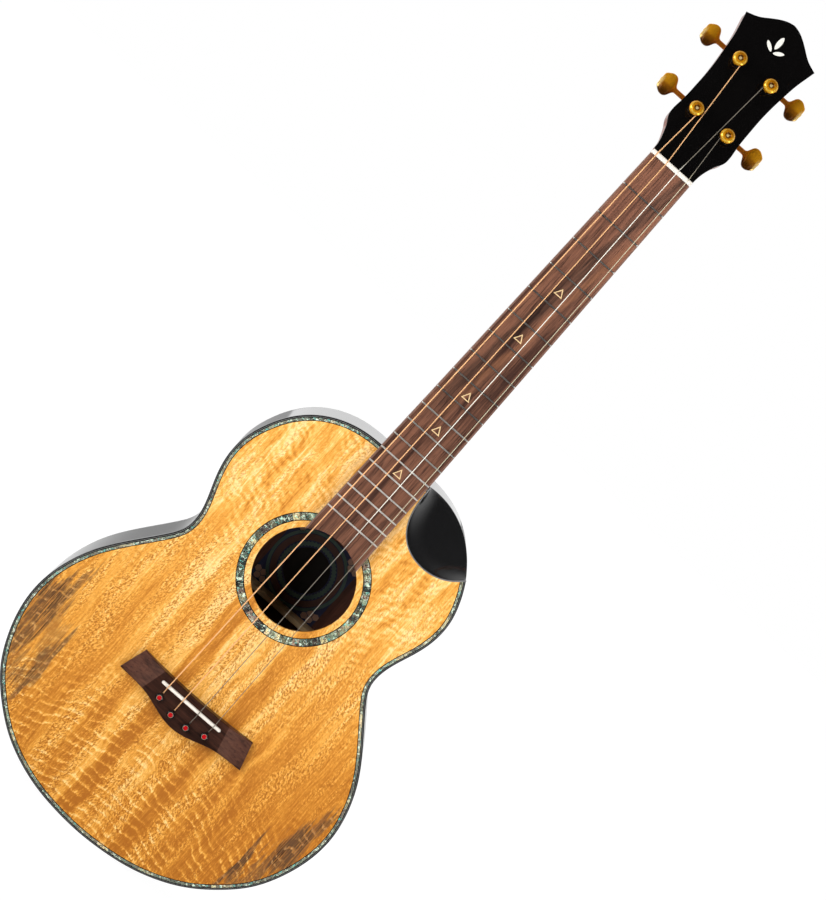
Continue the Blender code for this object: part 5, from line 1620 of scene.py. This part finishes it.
def nut_ring(x, shrink):
    return [(x, min(0.3, y + shrink if y < -1 else y), NUT_Z + max(shrink, min(3.6 - shrink, up)))
            for up, y in NUT_PROFILE]


def nut_slot(x, r):
    wide = r + 0.06
    return loft([[(x + wide * a, y - r + wide * b, NUT_Z + dz) for a, b in circle(1.0, 16)]
                 for y, dz in ((-7.72, -1), (-7.50, 5))])


build("nut_bar", loft([nut_ring(*place) for place in NUT_PLACES]), BONE, "bone", smooth=40,
      replaces="nut", cuts=[nut_slot(row[1] * row[6], row[2]) for row in STRINGS])


# ===================================================================== floor and light
def floor_material():
    """White to the camera, dark in reflections of its part under and before the body."""
    mat = material("studio_floor")
    colour = mat.mix(mat.noise(mat.place, scale=3.0, detail=2.0), (0.90, 0.90, 0.90),
                     (0.93, 0.93, 0.93))
    diffuse = mat.value("BsdfDiffuse", {"Color": colour})
    glow = mat.value("Emission", {"Color": (1.0, 1.0, 1.0), "Strength": 1.08})
    rays = mat.node("LightPath", {}).outputs
    seen = Value(mat, rays["Is Camera Ray"]) * 0.90
    surface = mat.value("MixShader", {0: seen, 1: diffuse, 2: glow})
    dark = mat.value("Emission", {"Color": (0.03, 0.03, 0.03)})
    mirrored = Value(mat, rays["Is Glossy Ray"]) * mat.xyz()[1].rise(150.0, -50.0)
    return mat.finish(mat.value("MixShader", {0: mirrored, 1: surface, 2: dark}))


def add_floor():
    look = floor_material()
    mesh = bpy.data.meshes.new("floor")
    points = [(cos(2 * pi * k / 64) * 14.0, sin(2 * pi * k / 64) * 14.0, -0.0004)
              for k in range(64)]
    mesh.from_pydata(points, [], [tuple(range(64))])
    mesh.materials.append(look)
    floor = bpy.data.objects.new("floor", mesh)
    bpy.context.scene.collection.objects.link(floor)
    floor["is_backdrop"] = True


def add_world():
    """White to the camera; as light, dim from the front (-y) and full from behind."""
    world = bpy.data.worlds.new("studio")
    bpy.context.scene.world = world
    sky = Shader(world, output="OutputWorld", coordinates="Generated")
    depth = sky.value("SeparateXYZ", {0: sky.place}, 1)
    # 1, 2: directions where the change starts and ends; 3, 4: strengths there
    light = sky.value("MapRange", {0: depth, 1: -0.15, 2: 0.45, 3: 0.035, 4: 1.0},
                      interpolation_type="SMOOTHSTEP")
    seen = sky.value("LightPath", {}, "Is Camera Ray")
    strength = sky.math("MAXIMUM", light, seen)
    sky.finish(sky.value("Background", {"Color": (1, 1, 1, 1), "Strength": strength}))


def lamp(name, place, target, width, height, power, shine):
    """An area light; shine lets reflections show it."""
    light = bpy.data.lights.new(name, "AREA")
    light.energy = power
    light.shape = "RECTANGLE"
    light.size = width
    light.size_y = height
    ob = bpy.data.objects.new(name, light)
    bpy.context.scene.collection.objects.link(ob)
    ob.location = place
    ob.visible_glossy = shine
    ob.rotation_mode = "QUATERNION"
    ob.rotation_quaternion = (Vector(target) - Vector(place)).to_track_quat("-Z", "Y")


# name, place and target in m, width, height, power in W, shows in reflections
LAMPS = (
    ("key_left", (-1.75, -1.55, 0.95), (0, 0, 0.36), 1.1, 1.5, 38, False),
    ("key_right", (1.75, -1.55, 0.75), (0, 0, 0.36), 1.1, 1.5, 29, False),
    ("high", (0.0, -0.9, 2.6), (0, 0, 0.36), 1.8, 1.0, 26, False),
    ("low_left", (-1.5, -0.75, 0.30), (0, 0, 0.7), 0.8, 0.55, 7.0, True),
    ("low_right", (1.5, -0.5, 0.15), (0, 0, 0.7), 0.8, 0.40, 5.5, True),
    ("wing_left", (-1.3, -2.0, 0.45), (0, 0, 0.4), 0.55, 1.0, 3.2, True),
    ("wing_right", (1.2, -2.1, 0.45), (0, 0, 0.4), 0.5, 0.9, 1.2, True))
add_floor()
add_world()
for row in LAMPS:
    lamp(*row)

# ============================================================================== camera
CAMERA_PLACE = (-0.09974, -1.83972, 0.49890)
# in the camera's frame (x right, y down, z ahead): where world +y points, and the turn
# in the picture plane that sets where world +z points
WORLD_Y_SEEN = (0.007128713, -0.088316832, 1.0)
WORLD_Z_TURN = -0.845917


def camera_rotation():
    world_y = np.array(WORLD_Y_SEEN)
    world_y /= np.linalg.norm(world_y)
    world_z = np.array([cos(WORLD_Z_TURN), sin(WORLD_Z_TURN), 0.0])
    world_z -= world_y * (world_z @ world_y)
    world_z /= np.linalg.norm(world_z)
    world_x = np.cross(world_y, world_z)
    # a camera object looks along its -z with +y up
    rows = [(axis[0], -axis[1], -axis[2]) for axis in (world_x, world_y, world_z)]
    return Matrix(rows).to_quaternion()


camera_data = bpy.data.cameras.new("camera")
camera_data.sensor_width = 36.0
camera_data.lens = 101.0
camera_data.clip_start, camera_data.clip_end = 0.05, 60.0
camera = bpy.data.objects.new("camera", camera_data)
scene = bpy.context.scene
scene.collection.objects.link(camera)
camera.rotation_mode = "QUATERNION"
camera.rotation_quaternion = camera_rotation()
camera.location = CAMERA_PLACE
scene.camera = camera
scene.view_settings.view_transform = "Standard"
scene.view_settings.look = "None"
scene.view_settings.exposure = 0.0

low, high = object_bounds()
({"loaded": [list(loaded_low), list(loaded_high)],
           "finished": [list(low), list(high)]})
